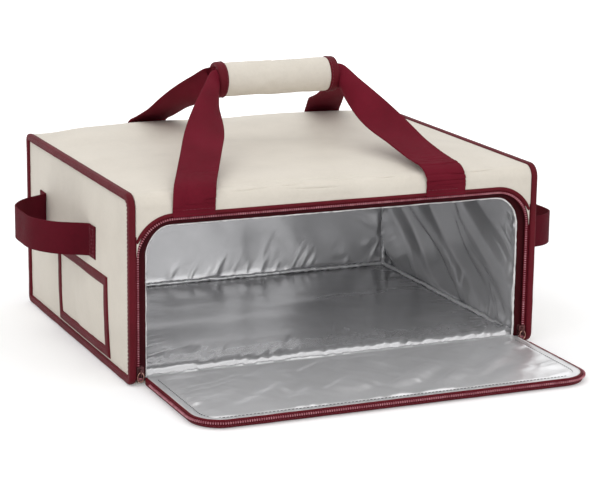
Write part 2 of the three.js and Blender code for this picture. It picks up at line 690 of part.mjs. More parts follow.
// The shape gives how far out and how far along the loop passes, as shares of its reach and span
function sideHandle(front, z, shape) {
  const curve = new THREE.CatmullRomCurve3(shape.map(([out, along]) => new THREE.Vector3(
    xTab + handleReach * out,
    front + HANDLE_TAB + handleSpan * along,
    z,
  )), false, "centripetal");
  function strip(from, to, steps, before = []) {
    const sections = straight(before, upright, HANDLE_WIDTH);
    for (let i = 0; i <= steps; i += 1) {
      const t = from + ((to - from) * i) / steps;
      const along = curve.getTangent(t).multiplyScalar(Math.sign(to - from)).toArray();
      const centre = curve.getPoint(t).toArray();
      sections.push({ centre, across: upright, width: HANDLE_WIDTH, along });
    }
    return webbing(sections, HANDLE_THICK);
  }
  const frontRoot = standOff(curve, HANDLE_ROOT, false);
  const rearRoot = standOff(curve, HANDLE_ROOT, true);
  const loopFront = standOff(curve, HANDLE_ROOT + CLEAR, false);
  const loopRear = standOff(curve, HANDLE_ROOT + CLEAR, true);
  return {
    front_end: strip(0.01, frontRoot, 6, [[xTab, front, z]]),
    rear_end: strip(0.99, rearRoot, 6, [[xTab, front + HANDLE_LENGTH, z]]),
    loop: strip(loopFront, loopRear, HANDLE_STEPS),
  };
}
const leftHandle = sideHandle(LEFT_HANDLE_FRONT, LEFT_HANDLE_Z, [
  [0, 0], [0.12, 0.025], [0.62, 0.13], [0.95, 0.3], [1, 0.5],
  [0.95, 0.7], [0.62, 0.87], [0.12, 0.975], [0, 1],
]);
// The right loop leans forward
const rightHandle = sideHandle(yFront + RIGHT_HANDLE_SET, RIGHT_HANDLE_Z, [
  [0, 0], [0.12, 0.01], [0.62, 0.035], [0.95, 0.14], [1, 0.33],
  [0.88, 0.58], [0.52, 0.84], [0.12, 0.965], [0, 1],
]);
for (const [name, solid] of Object.entries(rightHandle)) {
  add(`right_handle_${name}`, solid, burgundy);
}
for (const [name, solid] of Object.entries(leftHandle)) {
  add(`left_handle_${name}`, mirrored(solid), burgundy);
}

// Pocket on the left panel
function pocketFrame(inset) {
  const [y0, y1] = [POCKET_FRONT + inset, POCKET_REAR - inset];
  const [z0, z1] = [POCKET_LOW + inset, POCKET_HIGH - inset];
  return [[y0, z0], [y1, z0], [y1, z1], [y0, z1]];
}
const xPocket = -xPanelOut - CLEAR;
const pocketHole = [pocketFrame(POCKET_BINDING)];
add("pocket_binding", alongX(pocketFrame(0), xPocket - POCKET_PROUD, xPocket, pocketHole), burgundy);
add("pocket_panel", alongX(pocketFrame(POCKET_BINDING + CLEAR), xPocket - FABRIC, xPocket), cream);

export default group;
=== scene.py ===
"""Looks of the insulated delivery bag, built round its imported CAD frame."""
import json
import math

import bpy
import numpy as np
from mathutils import Matrix, Vector

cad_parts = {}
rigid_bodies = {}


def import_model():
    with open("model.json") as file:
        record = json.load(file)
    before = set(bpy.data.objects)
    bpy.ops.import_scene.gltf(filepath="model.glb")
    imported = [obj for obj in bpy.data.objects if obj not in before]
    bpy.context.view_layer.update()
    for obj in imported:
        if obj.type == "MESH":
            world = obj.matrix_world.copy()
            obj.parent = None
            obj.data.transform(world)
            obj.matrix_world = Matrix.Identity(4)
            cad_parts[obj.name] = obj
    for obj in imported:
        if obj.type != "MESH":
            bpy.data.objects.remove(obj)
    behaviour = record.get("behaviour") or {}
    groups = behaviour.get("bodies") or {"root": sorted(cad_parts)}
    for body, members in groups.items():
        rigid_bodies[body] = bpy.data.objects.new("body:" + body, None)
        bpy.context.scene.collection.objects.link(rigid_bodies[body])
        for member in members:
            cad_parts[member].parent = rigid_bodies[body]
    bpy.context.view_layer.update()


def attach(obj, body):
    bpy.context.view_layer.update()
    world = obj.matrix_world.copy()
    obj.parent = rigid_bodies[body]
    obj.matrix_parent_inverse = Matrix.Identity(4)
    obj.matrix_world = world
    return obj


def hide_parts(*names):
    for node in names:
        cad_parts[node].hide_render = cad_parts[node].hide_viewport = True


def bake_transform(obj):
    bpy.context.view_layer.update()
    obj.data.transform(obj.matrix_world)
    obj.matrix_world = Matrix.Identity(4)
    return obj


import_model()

SCENE = bpy.context.scene
MM = 0.001
WHITE = (1, 1, 1, 1)
SIDES = (("left", -1), ("right", 1))
RANDOM = np.random.RandomState(7)
LATTICE = RANDOM.rand(64, 64, 64)

# Sizes shared with the CAD model, in millimetres
FRONT, BACK = -200.0, 200.0
SIDE_H = 218.0
TOP_Z = 215.0
SPAN = 246.9
PANEL_X = 252.2
BACK_Y = 196.9
DOME = 11.0
ZIP_X, ZIP_TOP, ZIP_R = 242.3, 185.5, 40.0
ZIP_Y = -195.0
HINGE_Y, HINGE_Z = -197.0, 4.5
FLAP_LOW = HINGE_Z + 3.8
FLAP_FOIL_EDGE = -7.2
LIN_X, LIN_BACK, LIN_TOP, LIN_FLOOR = 243.0, 187.8, 206.0, 7.5
WALL_FRONT = -190.1
GRIP_X, GRIP_Z = -1.0, 306.0
GRIP_FROM, GRIP_TO = -79.0, 77.0
TUBE_R = 13.7
STRAP_W, STRAP_T = 50.0, 1.6
HANDLE_W, HANDLE_T = 38.0, 1.8

# Other sizes, in millimetres
CLOTH_T = 1.2
TOOTH_PITCH = 2.7


def xyz(x, y, z):
    """Points from three coordinates, each an array or one number for all."""
    return np.stack(np.broadcast_arrays(x, y, z), -1).astype(float)


def parts(points):
    """The x, y and z of points, which can be changed in place."""
    return np.moveaxis(points, -1, 0)


def unit(vectors):
    return vectors / np.linalg.norm(vectors, axis=-1, keepdims=True)


def smooth(t):
    t = np.clip(t, 0, 1)
    return t * t * (3 - 2 * t)


def limited(height, low, high):
    """Keeps a height softly between -low and high."""
    return np.where(height < 0, low * np.tanh(height / low), high * np.tanh(height / high))


def pillow(u, v, power=4):
    """1 in the middle of a panel and 0 at its edges, where u or v is 1."""
    return (1 - u ** power) * (1 - v ** power)


def value_noise(points, scale, shift=0):
    """Smooth noise from -1 to 1 at points given in millimetres."""
    p = np.asarray(points, float) / scale + shift + 100.0
    cell = np.floor(p).astype(int)
    f = p - cell
    f = f * f * f * (f * (f * 6 - 15) + 10)
    total = np.zeros(p.shape[:-1])
    for corner in range(8):
        weight = 1.0
        index = []
        for k in range(3):
            bit = (corner >> k) & 1
            weight = weight * (f[..., k] if bit else 1 - f[..., k])
            index.append((cell[..., k] + bit) % 64)
        total += weight * LATTICE[tuple(index)]
    return total * 2 - 1


def flat_noise(a, b, scale_a, scale_b, shift=0):
    """Noise over a flat sheet, with its own scale in each direction."""
    return value_noise(xyz(a / scale_a, b / scale_b, shift), 1)


def shaken(path, amount, scale, seed):
    """Moves the points of a path a little, each axis by its own noise."""
    return path + amount * np.stack([value_noise(path, scale, seed + k) for k in range(3)], -1)


# Materials


class Nodes:
    """The node tree of a material or a world, with short calls for the nodes it needs."""

    def __init__(self, owner):
        owner.use_nodes = True
        self.owner = owner
        self.tree = owner.node_tree
        self.shader = self.tree.nodes.get("Principled BSDF")

    def fill(self, node, inputs):
        """Sets inputs of a node to values, or links them to outputs of other nodes."""
        for key, value in inputs.items():
            if isinstance(value, bpy.types.NodeSocket):
                self.tree.links.new(value, node.inputs[key])
            else:
                node.inputs[key].default_value = value
        return node

    def node(self, kind, inputs=None, operation=None):
        made = self.tree.nodes.new(kind)
        if operation:
            made.operation = operation
        return self.fill(made, inputs or {})

    def math(self, operation, *values):
        return self.node("ShaderNodeMath", dict(enumerate(values)), operation).outputs[0]

    def place(self):
        return self.node("ShaderNodeTexCoord").outputs["Object"]

    def noise(self, scale, detail=3):
        inputs = {"Vector": self.place(), "Scale": scale, "Detail": detail}
        return self.node("ShaderNodeTexNoise", inputs).outputs["Fac"]

    def weave(self, across, along):
        """Checks and ribs of a plain weave with that many threads a metre of the piece's own flat cloth."""
        flat = self.node("ShaderNodeSeparateXYZ", {0: self.node("ShaderNodeUVMap").outputs["UV"]})
        a = self.math("SINE", self.math("MULTIPLY", flat.outputs["X"], across * 2 * math.pi))
        b = self.math("SINE", self.math("MULTIPLY", flat.outputs["Y"], along * 2 * math.pi))
        return self.math("MULTIPLY", a, b), self.math("ABSOLUTE", a)

    def colour(self, fac, stops):
        ramp = self.node("ShaderNodeValToRGB", {"Fac": fac})
        elements = ramp.color_ramp.elements
        while len(elements) < len(stops):
            elements.new(0.5)
        for element, (at, rgb) in zip(elements, stops):
            element.position = at
            element.color = (*rgb, 1)
        self.fill(self.shader, {"Base Color": ramp.outputs["Color"]})

    def rough(self, fac, low, high):
        spread = self.node("ShaderNodeMapRange", {"Value": fac, "To Min": low, "To Max": high})
        self.fill(self.shader, {"Roughness": spread.outputs[0]})

    def bump(self, *layers):
        """Layers of height, each with its strength and distance, one over the other."""
        normal = {}
        for height, strength, distance in layers:
            inputs = {"Height": height, "Strength": strength, "Distance": distance, **normal}
            normal = {"Normal": self.node("ShaderNodeBump", inputs).outputs["Normal"]}
        self.fill(self.shader, normal)

    def seen(self):
        """1 for rays that show the room: from the camera, off gloss and through clear pieces."""
        path = self.node("ShaderNodeLightPath").outputs
        shown = self.math("MAXIMUM", path["Is Camera Ray"], path["Is Glossy Ray"])
        return self.math("MAXIMUM", shown, path["Is Transmission Ray"])


def woven(name, dark, base, light, threads, rough, strength, sheen, gloss):
    """Cloth or thread with a weave and uneven dye."""
    m = Nodes(bpy.data.materials.new(name))
    checks, ribs = m.weave(*threads)
    blotch = m.noise(22, 4)
    fine = m.noise(260, 2)
    mixed = m.math("ADD", m.math("MULTIPLY", blotch, 0.6), m.math("MULTIPLY", fine, 0.25))
    mixed = m.math("ADD", mixed, m.math("MULTIPLY", checks, 0.10))
    m.colour(mixed, [(0.22, dark), (0.45, base), (0.72, light)])
    m.rough(fine, rough - 0.08, rough + 0.08)
    m.bump((checks, strength, 0.0004), (ribs, strength * 0.6, 0.0003), (blotch, 0.12, 0.0012))
    m.fill(m.shader, {"Sheen Weight": sheen, "Sheen Roughness": 0.45, "Specular IOR Level": gloss})
    return m.owner


CREAM = woven("cream_cloth", (0.625, 0.578, 0.505), (0.68, 0.63, 0.552), (0.715, 0.666, 0.588),
              (1400, 1400), 0.56, 0.10, 0.08, 0.18)
WEBBING = woven("burgundy_webbing", (0.108, 0.0050, 0.0135), (0.144, 0.0072, 0.0185), (0.176, 0.0105, 0.0255),
                (520, 620), 0.70, 0.55, 0, 0.08)
SIDE_WEB = woven("side_webbing", (0.074, 0.0034, 0.0092), (0.100, 0.0050, 0.0128), (0.124, 0.0072, 0.0178),
                 (520, 620), 0.70, 0.55, 0, 0.08)
TAPE = woven("burgundy_tape", (0.086, 0.0040, 0.0088), (0.116, 0.0058, 0.0128), (0.145, 0.0085, 0.018),
             (900, 900), 0.55, 0.35, 0, 0.12)
# The facing behind the zip teeth is the burgundy tape darkened to near black: painted shade for the shadowed
# band inside the mouth.
FACING_SHADED = woven("facing_tape_shaded", (0.026, 0.0016, 0.0030), (0.042, 0.0026, 0.0050), (0.060, 0.0040, 0.0075),
               (900, 900), 0.60, 0.35, 0, 0.08)
THREAD = woven("burgundy_thread", (0.12, 0.012, 0.022), (0.17, 0.022, 0.035), (0.22, 0.04, 0.055),
               (1500, 1500), 0.55, 0.3, 0.1, 0.15)
GREY_THREAD = woven("grey_thread", (0.10, 0.10, 0.105), (0.15, 0.15, 0.155), (0.20, 0.20, 0.205),
                    (1500, 1500), 0.55, 0.3, 0.1, 0.15)


def foil(name, low, high, rough, metal):
    """Satin metal film with soft ripples."""
    m = Nodes(bpy.data.materials.new(name))
    m.fill(m.shader, {"Metallic": metal})
    soft = m.noise(30, 3)
    m.colour(soft, [(0.2, low), (0.8, high)])
    m.rough(soft, rough - 0.025, rough + 0.03)
    m.bump((m.noise(70, 0), 0.05, 0.002))
    return m.owner


# The lining foil and the flap foil are one film: the lining's colour is darkened as painted shade for the
# inside, and the flap's is lightened as painted light, also used on the hinge.
FOIL_SHADED = foil("foil_lining", (0.58, 0.58, 0.59), (0.65, 0.65, 0.66), 0.235, 0.60)
FLAP_FOIL_LIT = foil("flap_foil_lit", (0.73, 0.73, 0.74), (0.82, 0.82, 0.83), 0.33, 0.60)
# The seam rolls are the same foil made lighter and more diffuse: painted highlight.
FOIL_SEAM_LIT = foil("foil_seam_lit", (0.88, 0.88, 0.89), (0.94, 0.94, 0.95), 0.32, 0.50)


def plain(name, dark, light, rough, metal, scale):
    """Metal or plastic with a fine grain and some wear."""
    m = Nodes(bpy.data.materials.new(name))
    m.fill(m.shader, {"Metallic": metal})
    grain = m.noise(scale, 4)
    wear = m.noise(scale * 0.2, 3)
    m.colour(wear, [(0.35, dark), (0.7, light)])
    m.rough(grain, rough - 0.08, rough + 0.12)
    m.bump((grain, 0.15, 0.0003))
    return m.owner


BRONZE = plain("bronze_ring", (0.30, 0.15, 0.12), (0.52, 0.31, 0.26), 0.22, 1, 500)
SLIDER = plain("dark_slider", (0.055, 0.016, 0.018), (0.13, 0.045, 0.045), 0.26, 0.7, 500)
# Zip teeth: burgundy like the tape, lightened to pink as painted highlight; the stop tabs share it.
COIL_HIGHLIGHTED = plain("zip_coil", (0.38, 0.10, 0.135), (0.63, 0.28, 0.32), 0.28, 0, 700)
# The foil's rolled edges are matt near-white instead of foil: a real rolled edge with its highlight painted
# in.
ROLLED_EDGE_HIGHLIGHT = plain("rolled_edge", (0.62, 0.61, 0.60), (0.84, 0.83, 0.82), 0.35, 0, 300)


# Mesh building


def stands(obj, body, slot, *nodes):
    """Hides the CAD nodes that a piece replaces and attaches it to its body, if one is given; the slot is not
    used.
    """
    if nodes:
        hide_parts(*nodes)
    if body:
        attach(obj, body)


def piece(name, points, faces, material, uv=None):
    """New object from points in millimetres; uv gives each point's place on the flat cloth."""
    mesh = bpy.data.meshes.new(name)
    mesh.from_pydata([tuple(p) for p in np.asarray(points, float) * MM], [], faces)
    mesh.materials.append(material)
    if uv is not None:
        layer = mesh.uv_layers.new(name="UVMap")
        corner = np.empty(len(mesh.loops), np.int32)
        mesh.loops.foreach_get("vertex_index", corner)
        layer.data.foreach_set("uv", (np.asarray(uv, float)[corner] * MM).astype(np.float32).ravel())
    mesh.polygons.foreach_set("use_smooth", np.ones(len(mesh.polygons), bool))
    mesh.update()
    made = bpy.data.objects.new(name, mesh)
    SCENE.collection.objects.link(made)
    return made


def grid_faces(rows, columns, loop, flip=False):
    """Faces between rows of points; loop joins the last column to the first."""
    faces = []
    for r in range(rows - 1):
        for c in range(columns if loop else columns - 1):
            d = (c + 1) % columns
            quad = (r * columns + c, r * columns + d, (r + 1) * columns + d, (r + 1) * columns + c)
            faces.append(quad[::-1] if flip else quad)
    return faces


def grid(name, points, material, loop=False, flip=False):
    """Surface through rows and columns of points, measured so that a weave has its true scale."""
    across = np.zeros(points.shape[:2])
    along = np.zeros(points.shape[:2])
    across[:, 1:] = np.cumsum(np.linalg.norm(np.diff(points, axis=1), axis=2), axis=1)
    along[1:, :] = np.cumsum(np.linalg.norm(np.diff(points, axis=0), axis=2), axis=0)
    faces = grid_faces(*points.shape[:2], loop, flip)
    return piece(name, points.reshape(-1, 3), faces, material, np.stack([across, along], -1).reshape(-1, 2))


def applied(obj):
    """Applies the modifiers of a piece to its mesh."""
    graph = bpy.context.evaluated_depsgraph_get()
    graph.update()
    mesh = bpy.data.meshes.new_from_object(obj.evaluated_get(graph))
    obj.modifiers.clear()
    old = obj.data
    obj.data = mesh
    bpy.data.meshes.remove(old)
    return obj


def thicken(obj, thickness=CLOTH_T, offset=-1):
    made = obj.modifiers.new("thickness", "SOLIDIFY")
    made.thickness = thickness * MM
    made.offset = offset
    return applied(obj)


def settled(obj, held, pressure, cap, spare=0.001):
    """Lets an open sheet swell as cloth held at some points; no point moves further than the cap."""
    frames = 20
    mesh = obj.data
    start = np.empty(len(mesh.vertices) * 3)
    mesh.vertices.foreach_get("co", start)
    obj.vertex_groups.new(name="held").add(np.flatnonzero(held).tolist(), 1, "REPLACE")
    made = obj.modifiers.new("cloth", "CLOTH")
    cloth = made.settings
    cloth.quality = 5
    cloth.mass = 0.1
    cloth.bending_stiffness = 2.0
    cloth.vertex_group_mass = "held"
    cloth.shrink_min = -spare
    cloth.effector_weights.gravity = 0.0
    cloth.use_pressure = True
    cloth.uniform_pressure_force = pressure
    made.collision_settings.use_collision = False
    made.point_cache.frame_start = 1
    made.point_cache.frame_end = frames
    for f in range(1, frames + 1):
        SCENE.frame_set(f)
    end = np.empty(len(start))
    obj.evaluated_get(bpy.context.evaluated_depsgraph_get()).data.vertices.foreach_get("co", end)
    obj.modifiers.clear()
    obj.vertex_groups.clear()
    SCENE.frame_set(1)
    move = end - start
    furthest = np.linalg.norm(move.reshape(-1, 3), axis=1).max()
    move *= cap * MM / np.maximum(furthest, cap * MM)
    mesh.vertices.foreach_set("co", start + move)
    mesh.update()
    return obj


def rim(points):
    """Marks the outer points of a grid."""
    marks = np.ones(points.shape[:2], bool)
    marks[1:-1, 1:-1] = False
    return marks.ravel()


def joined(name, pieces):
    """One object of several, each with its own material."""
    for o in SCENE.objects:
        o.select_set(False)
    for p in pieces:
        p.select_set(True)
    bpy.context.view_layer.objects.active = pieces[0]
    bpy.ops.object.join()
    pieces[0].name = name
    pieces[0].data.name = name
    return pieces[0]


def arc(cx, cy, radius, start, end, steps):
    a = np.radians(np.linspace(start, end, steps + 1))
    return np.stack([cx + radius * np.cos(a), cy + radius * np.sin(a)], -1)


def running(path, power=1):
    """Distance along a path at each of its points, each step raised to a power."""
    return np.concatenate([[0], np.cumsum(np.linalg.norm(np.diff(path, axis=0), axis=1) ** power)])


def resample(path, step, closed=False):
    """Even points along a path, with their unit tangents."""
    path = np.asarray(path, float)
    if closed:
        path = np.vstack([path, path[:1]])
    at = running(path)
    count = max(int(round(at[-1] / step)), 2)
    want = np.linspace(0, at[-1], count + 1)
    even = np.stack([np.interp(want, at, path[:, k]) for k in range(path.shape[1])], -1)
    tangent = np.gradient(even, axis=0)
    if closed:
        tangent[0] = tangent[-1] = even[1] - even[-2]
    return even, unit(tangent)


def side_outline(inset):
    """Side view of the body as (y, z) points with outward normals."""
    y0, y1, z0, z1 = FRONT + inset, BACK - inset, inset, SIDE_H - inset
    bf, bb, tb, tf = [max(r - inset, 1) for r in (12, 9, 9, 16)]
    path = np.vstack([
        arc(y0 + bf, z0 + bf, bf, 180, 270, 6),
        arc(y1 - bb, z0 + bb, bb, 270, 360, 6),
        arc(y1 - tb, z1 - tb, tb, 0, 90, 6),
        arc(y0 + tf, z1 - tf, tf, 90, 180, 8),
    ])
    even, tangent = resample(path, 4, closed=True)
    return even, np.stack([tangent[:, 1], -tangent[:, 0]], -1)


def zip_line(offset, low, step=4):
    """Arch of the zip as (x, z) points with outward normals, from lower left to lower right."""
    half, top, r = ZIP_X + offset, ZIP_TOP + offset, ZIP_R + offset
    path = np.vstack([
        [[-half, low]],
        arc(-half + r, top - r, r, 180, 90, 14),
        arc(half - r, top - r, r, 90, 0, 14),
        [[half, low]],
    ])
    even, tangent = resample(path, step)
    return even, np.stack([-tangent[:, 1], tangent[:, 0]], -1)


def laid_open(points):
    """Carries points drawn on the closed flap to the open one."""
    x, y, z = parts(points)
    return xyz(x, HINGE_Y - (z - HINGE_Z), HINGE_Z + (y - HINGE_Y))


def beside(line, normal, reach, y):
    """Points at a depth y and a reach outside a line drawn in x and z."""
    return xyz(line[:, 0] + normal[:, 0] * reach, y, line[:, 1] + normal[:, 1] * reach)


def arch_sweep(profile, low, step=4):
    """Points of a profile, given as (distance outside the zip line, y), carried round the arch."""
    line, normal = zip_line(0, low, step)
    return np.stack([beside(line, normal, d, y) for d, y in profile], 1)


def tube(path, radius, sides=8, wobble=0, seed=0):
    """Round section carried along a path in space."""
    path = np.asarray(path, float)
    tangent = unit(np.gradient(path, axis=0))
    guide = np.array([0.37, 0.21, 0.9])
    first = unit(np.cross(tangent, guide))
    second = np.cross(tangent, first)
    angles = np.linspace(0, 2 * math.pi, sides, endpoint=False)[None, :, None]
    radius = np.broadcast_to(radius, len(path))[:, None, None]
    out = np.cos(angles) * first[:, None, :] + np.sin(angles) * second[:, None, :]
    ring = path[:, None, :] + radius * out
    return ring + wobble * value_noise(ring, 4.5, seed)[..., None] * out


def blocks(name, centres, along, across, up, size, material):
    """Many small rounded blocks, such as teeth or stitches, as one mesh."""
    l, w, h = [s / 2 for s in size]
    outline = [(-1, -0.5), (-0.6, -1), (0.6, -1), (1, -0.5), (1, 0.5), (0.6, 1), (-0.6, 1), (-1, 0.5)]
    levels = ((-1, 1), (0.55, 1), (1, 0.7))
    local = np.array([[a * l * k, b * w * k, c * h] for c, k in levels for a, b in outline])
    n = len(outline)
    faces_one = grid_faces(len(levels), n, True) + [tuple(range(2 * n, 3 * n))]
    count = len(centres)
    axes = np.stack([along, across, up], 1)
    points = centres[:, None, :] + np.einsum("pk,nkd->npd", local, axes)
    faces = [tuple(i + m * len(local) for i in f) for m in range(count) for f in faces_one]
    return piece(name, points.reshape(-1, 3), faces, material, np.tile(local[:, :2], (count, 1)))


def stitches(path, normal, material=THREAD, length=3.2, pitch=4.6, name="stitches"):
    """A row of stitches along a path, standing on a surface with that normal."""
    lift, width, height = 0.25, 0.7, 0.6
    even, tangent = resample(path, pitch)
    across = unit(np.cross(np.broadcast_to(np.asarray(normal, float), even.shape), tangent))
    up = np.cross(tangent, across)
    return blocks(name, even + up * lift, tangent, across, up, (length, width, height), material)


def rectangle(y0, y1, z0, z1):
    return np.array([[y0, z0], [y1, z0], [y1, z1], [y0, z1], [y0, z0]])


def box_cross(y0, y1, z0, z1):
    """Stitch paths of a sewn square with a cross in it."""
    return [rectangle(y0, y1, z0, z1), np.array([[y0, z0], [y1, z1]]), np.array([[y0, z1], [y1, z0]])]


def frame_ring(outline, d, count):
    """Closed ring at a distance outside a rectangle, with a count of points on each side."""
    outer = outline + np.sign(outline - outline[:4].mean(0)) * d
    t = np.linspace(0, 1, count, endpoint=False)[:, None]
    sides = [a + (b - a) * t for a, b in zip(outer, outer[1:])]
    return np.vstack(sides + [outer[:1]])


# Camera


def set_camera(focal, yaw, pitch, roll, place):
    """Camera fitted to the photo: focal length in pixels, angles in degrees and place in millimetres."""
    sensor, picture_width = 36, 600.0
    yaw, pitch, roll = [math.radians(v) for v in (yaw, pitch, roll)]
    turns = ((-yaw, "Z"), (math.pi / 2 - pitch, "X"), (roll, "Z"))
    aim = Matrix.Translation(Vector(place) * MM)
    for angle, axis in turns:
        aim = aim @ Matrix.Rotation(angle, 4, axis)
    data = bpy.data.cameras.new("camera")
    data.sensor_width = sensor
    data.lens = focal * sensor / picture_width
    data.clip_end = 50
    made = bpy.data.objects.new("camera", data)
    made.matrix_world = aim
    SCENE.collection.objects.link(made)
    SCENE.camera = made


set_camera(2113, 23.563, 13.621, 0.737, (-982.3, -2334.7, 704.3))


# Outer cloth


def crown(x, y):
    """Rise of the padded top: full towards the back edge, gentler towards the other three."""
    middle, half_depth = 6.4, 190.5
    u = np.clip(np.abs(x) / SPAN, 0, 1)
    v = np.clip(np.abs((y - middle) / half_depth), 0, 1)
    crest = DOME + 5 * smooth((y - 30) / 100)
    return crest * (1 - u ** 5.5) * (1 - v ** np.where(y > middle, 9, 4))


# Middle, half length, place down the turn and slope of each crease
CREASES = [(-108, 24, 9, 0.05), (-60, 13, 7, 0.04), (62, 17, 6, 0.03),
           (182, 20, 7.5, 0.02), (-30, 30, 13, -0.02), (8, 15, 5, 0.05)]


def creased(x, down):
    """Depth of the thin creases where the top turns down at the front, by the distance down the turn."""
    total = np.zeros_like(x)
    for middle, half, at, slope in CREASES:
        away = down - at + slope * (x - middle)
        line = 0.55 * np.exp(-((away + 1.6) / 1.3) ** 2) - 0.75 * np.exp(-(away / 0.9) ** 2)
        total = total + line * np.exp(-((x - middle) / half) ** 4)
    return total


def top_cloth():
    """Top panel, rolled over the front edge and down to the zip's arch."""
    outside, roll, roll_y, front_y, columns = 3.6, 13, -184.1, -197.1, 35
    radius = ZIP_R + outside
    straight = ZIP_X + outside - radius
    roll_z = TOP_Z - roll
    turn = np.radians(np.linspace(0, 90, 13)[1:])
    right_x = straight + radius * np.sin(turn)
    right_z = ZIP_TOP + outside - radius + radius * np.cos(turn) + 2.4 * smooth(1.4 * np.cos(turn))
    low_z = np.concatenate([np.full(columns, ZIP_TOP + 6), right_z, right_z[-1:]])
    low_z = np.concatenate([low_z[::-1], low_z])
    x = np.concatenate([np.linspace(-straight, straight, 2 * columns)[columns:], right_x, [SPAN]])
    x = np.concatenate([-x[::-1], x])
    rows = []
    for y in np.concatenate([np.linspace(BACK_Y, -150, 52), np.linspace(-150, roll_y, 24)[1:]]):
        rows.append(xyz(x, y, TOP_Z + crown(x, y)))
    for t in np.radians(np.linspace(0, 90, 34)[1:]):
        r = roll + creased(x, roll * t)
        rows.append(xyz(x, roll_y - r * np.sin(t), roll_z + r * np.cos(t)))
    for t in np.linspace(0, 1, 10)[1:]:
        rows.append(xyz(x, front_y, roll_z + (low_z - roll_z) * t))
    points = np.stack(rows)
    x, y, z = parts(points)
    wave = value_noise(points, 95) * 1.2 + value_noise(points, 38, 5) * 0.45
    z += wave * smooth((SPAN - np.abs(x)) / 25) * np.where(y > -180, 1, 0.25)
    y += smooth((-190 - y) / 6) * (0.25 + 0.35 * flat_noise(x, z, 45, 14, 8.1))
    made = grid("top_cloth", points, CREAM)
    # the outermost strips low on the header are burgundy, like the binding beside them
    made.data.materials.append(TAPE)
    count, columns = points.shape[:2]
    for r in range(count - 5, count - 1):
        for c in (0, columns - 2):
            made.data.polygons[r * (columns - 1) + c].material_index = 1
    held = rim(points) | (y < roll_y + 2).ravel()
    return thicken(settled(made, held, 0.4, 2.5))


def side_bulge(y, z):
    """How far the side panels swell outwards, with soft waves."""
    u = np.clip(np.abs(y / 195), 0, 1)
    v = np.clip(np.abs((z - 109) / 104.5), 0, 1)
    p = xyz(y, z, 0)
    waves = value_noise(p, 70, 2) * 0.8 + value_noise(p, 26, 9) * 0.25
    return 2.2 * pillow(u, v) + waves * pillow(u, v, 6)


def side_cloth(name, sign):
    """Side panel, cut round at its upper front corner."""
    corner_y, corner_z, corner_r = -184, 202, 11.5
    y, z = np.meshgrid(np.linspace(-195.4, 195.4, 80), np.linspace(4.6, 213.4, 50))
    out = np.hypot(np.minimum(y - corner_y, 0), np.maximum(z - corner_z, 0))
    beyond = (y < corner_y) & (z > corner_z) & (out > corner_r)
    shrink = corner_r / np.maximum(out, corner_r)
    y = np.where(beyond, corner_y + (y - corner_y) * shrink, y)
    z = np.where(beyond, corner_z + (z - corner_z) * shrink, z)
    made = grid(name, xyz(sign * (PANEL_X - 0.3 + side_bulge(y, z)), y, z), CREAM, flip=sign < 0)
    return thicken(settled(made, rim(y), 2, 2))


def back_cloth():
    x, z = np.meshgrid(np.linspace(-SPAN, SPAN, 80), np.linspace(1.7, 213.3, 46))
    u, v = np.abs(x / SPAN), np.abs((z - 107) / 106)
    swell = 2 * pillow(u, v) + value_noise(xyz(x, z, 0), 80, 4) * 0.8 * pillow(u, v, 6)
    made = grid("back_cloth", xyz(x, BACK_Y + swell, z), CREAM, flip=True)
    return thicken(settled(made, rim(x), 2, 2))


def bottom_cloth():
    x, y = np.meshgrid(np.linspace(-SPAN, SPAN, 60), np.linspace(-193.2, BACK_Y, 50))
    lift = 1.2 * np.maximum(np.abs(x / SPAN), np.abs((y - 2) / 195)) ** 12
    return thicken(grid("bottom_cloth", xyz(x, y, 0.05 + lift), CREAM, flip=True))


def add_outer():
    panels = ((top_cloth(), "top_panel", "front_header", "top_foam"),
              (side_cloth("left_side_cloth", -1), "left_side_panel", "left_foam"),
              (side_cloth("right_side_cloth", 1), "right_side_panel", "right_foam"),
              (back_cloth(), "back_panel", "back_foam"),
              (bottom_cloth(), "bottom_panel", "bottom_foam"))
    for made, *nodes in panels:
        stands(made, "shell", "cream_fabric", *nodes)


def side_binding(name, sign):
    """Tape folded over the edge of a side panel, with its row of stitches."""
    outline, normal = side_outline(0)
    profile = [(-4.3, 247.6), (-1.6, 247.3), (-0.5, 247.9), (0, 249.2), (0.15, 251.5), (0, 253.3),
               (-0.7, 254.5), (-2, 255.1), (-4.5, 255.35), (-7, 255), (-8.6, 254.2), (-9.2, 253),
               (-9, 252)]
    points = np.stack([xyz(sign * x, *(outline + normal * d).T) for d, x in profile], 1)
    x, _, z = parts(points)
    x += sign * value_noise(points, 16, 1) * 0.25
    np.maximum(z, 0, out=z)
    body = grid(name, points, TAPE, flip=sign > 0)
    path = xyz(sign * 254.9, *side_outline(7.4)[0].T)
    return joined(name, [body, stitches(path, (sign, 0, 0))])


def back_binding():
    """Tape round the back panel, with its row of stitches."""
    middle, sewn = 4.7, 4.5
    outline = rectangle(-SPAN + middle, SPAN - middle, middle, TOP_Z - middle)
    profile = [(-5, 197.2), (-4.8, 198.8), (-4, 199.8), (-1.5, 200.3), (1.5, 200.3), (4, 199.8),
               (4.6, 198.8), (4.7, 197.2)]
    rings = []
    for d, y in profile:
        x, z = frame_ring(outline, d, 60).T
        rings.append(xyz(x, y, z))
    points = np.stack(rings, 1)
    _, y, z = parts(points)
    y += value_noise(points, 16, 6) * 0.25
    np.maximum(z, 0, out=z)
    body = grid("back_binding_tape", points, TAPE)
    x, z = rectangle(-SPAN + sewn, SPAN - sewn, sewn, TOP_Z - sewn).T
    return joined("back_binding_tape", [body, stitches(xyz(x * 0.995, 200.2, z), (0, 1, 0))])


def add_bindings():
    for side, sign in SIDES:
        stands(side_binding(side + "_binding_tape", sign), "shell", "burgundy_webbing", side + "_binding")
    stands(back_binding(), "shell", "burgundy_webbing", "back_binding")


# Foil lining


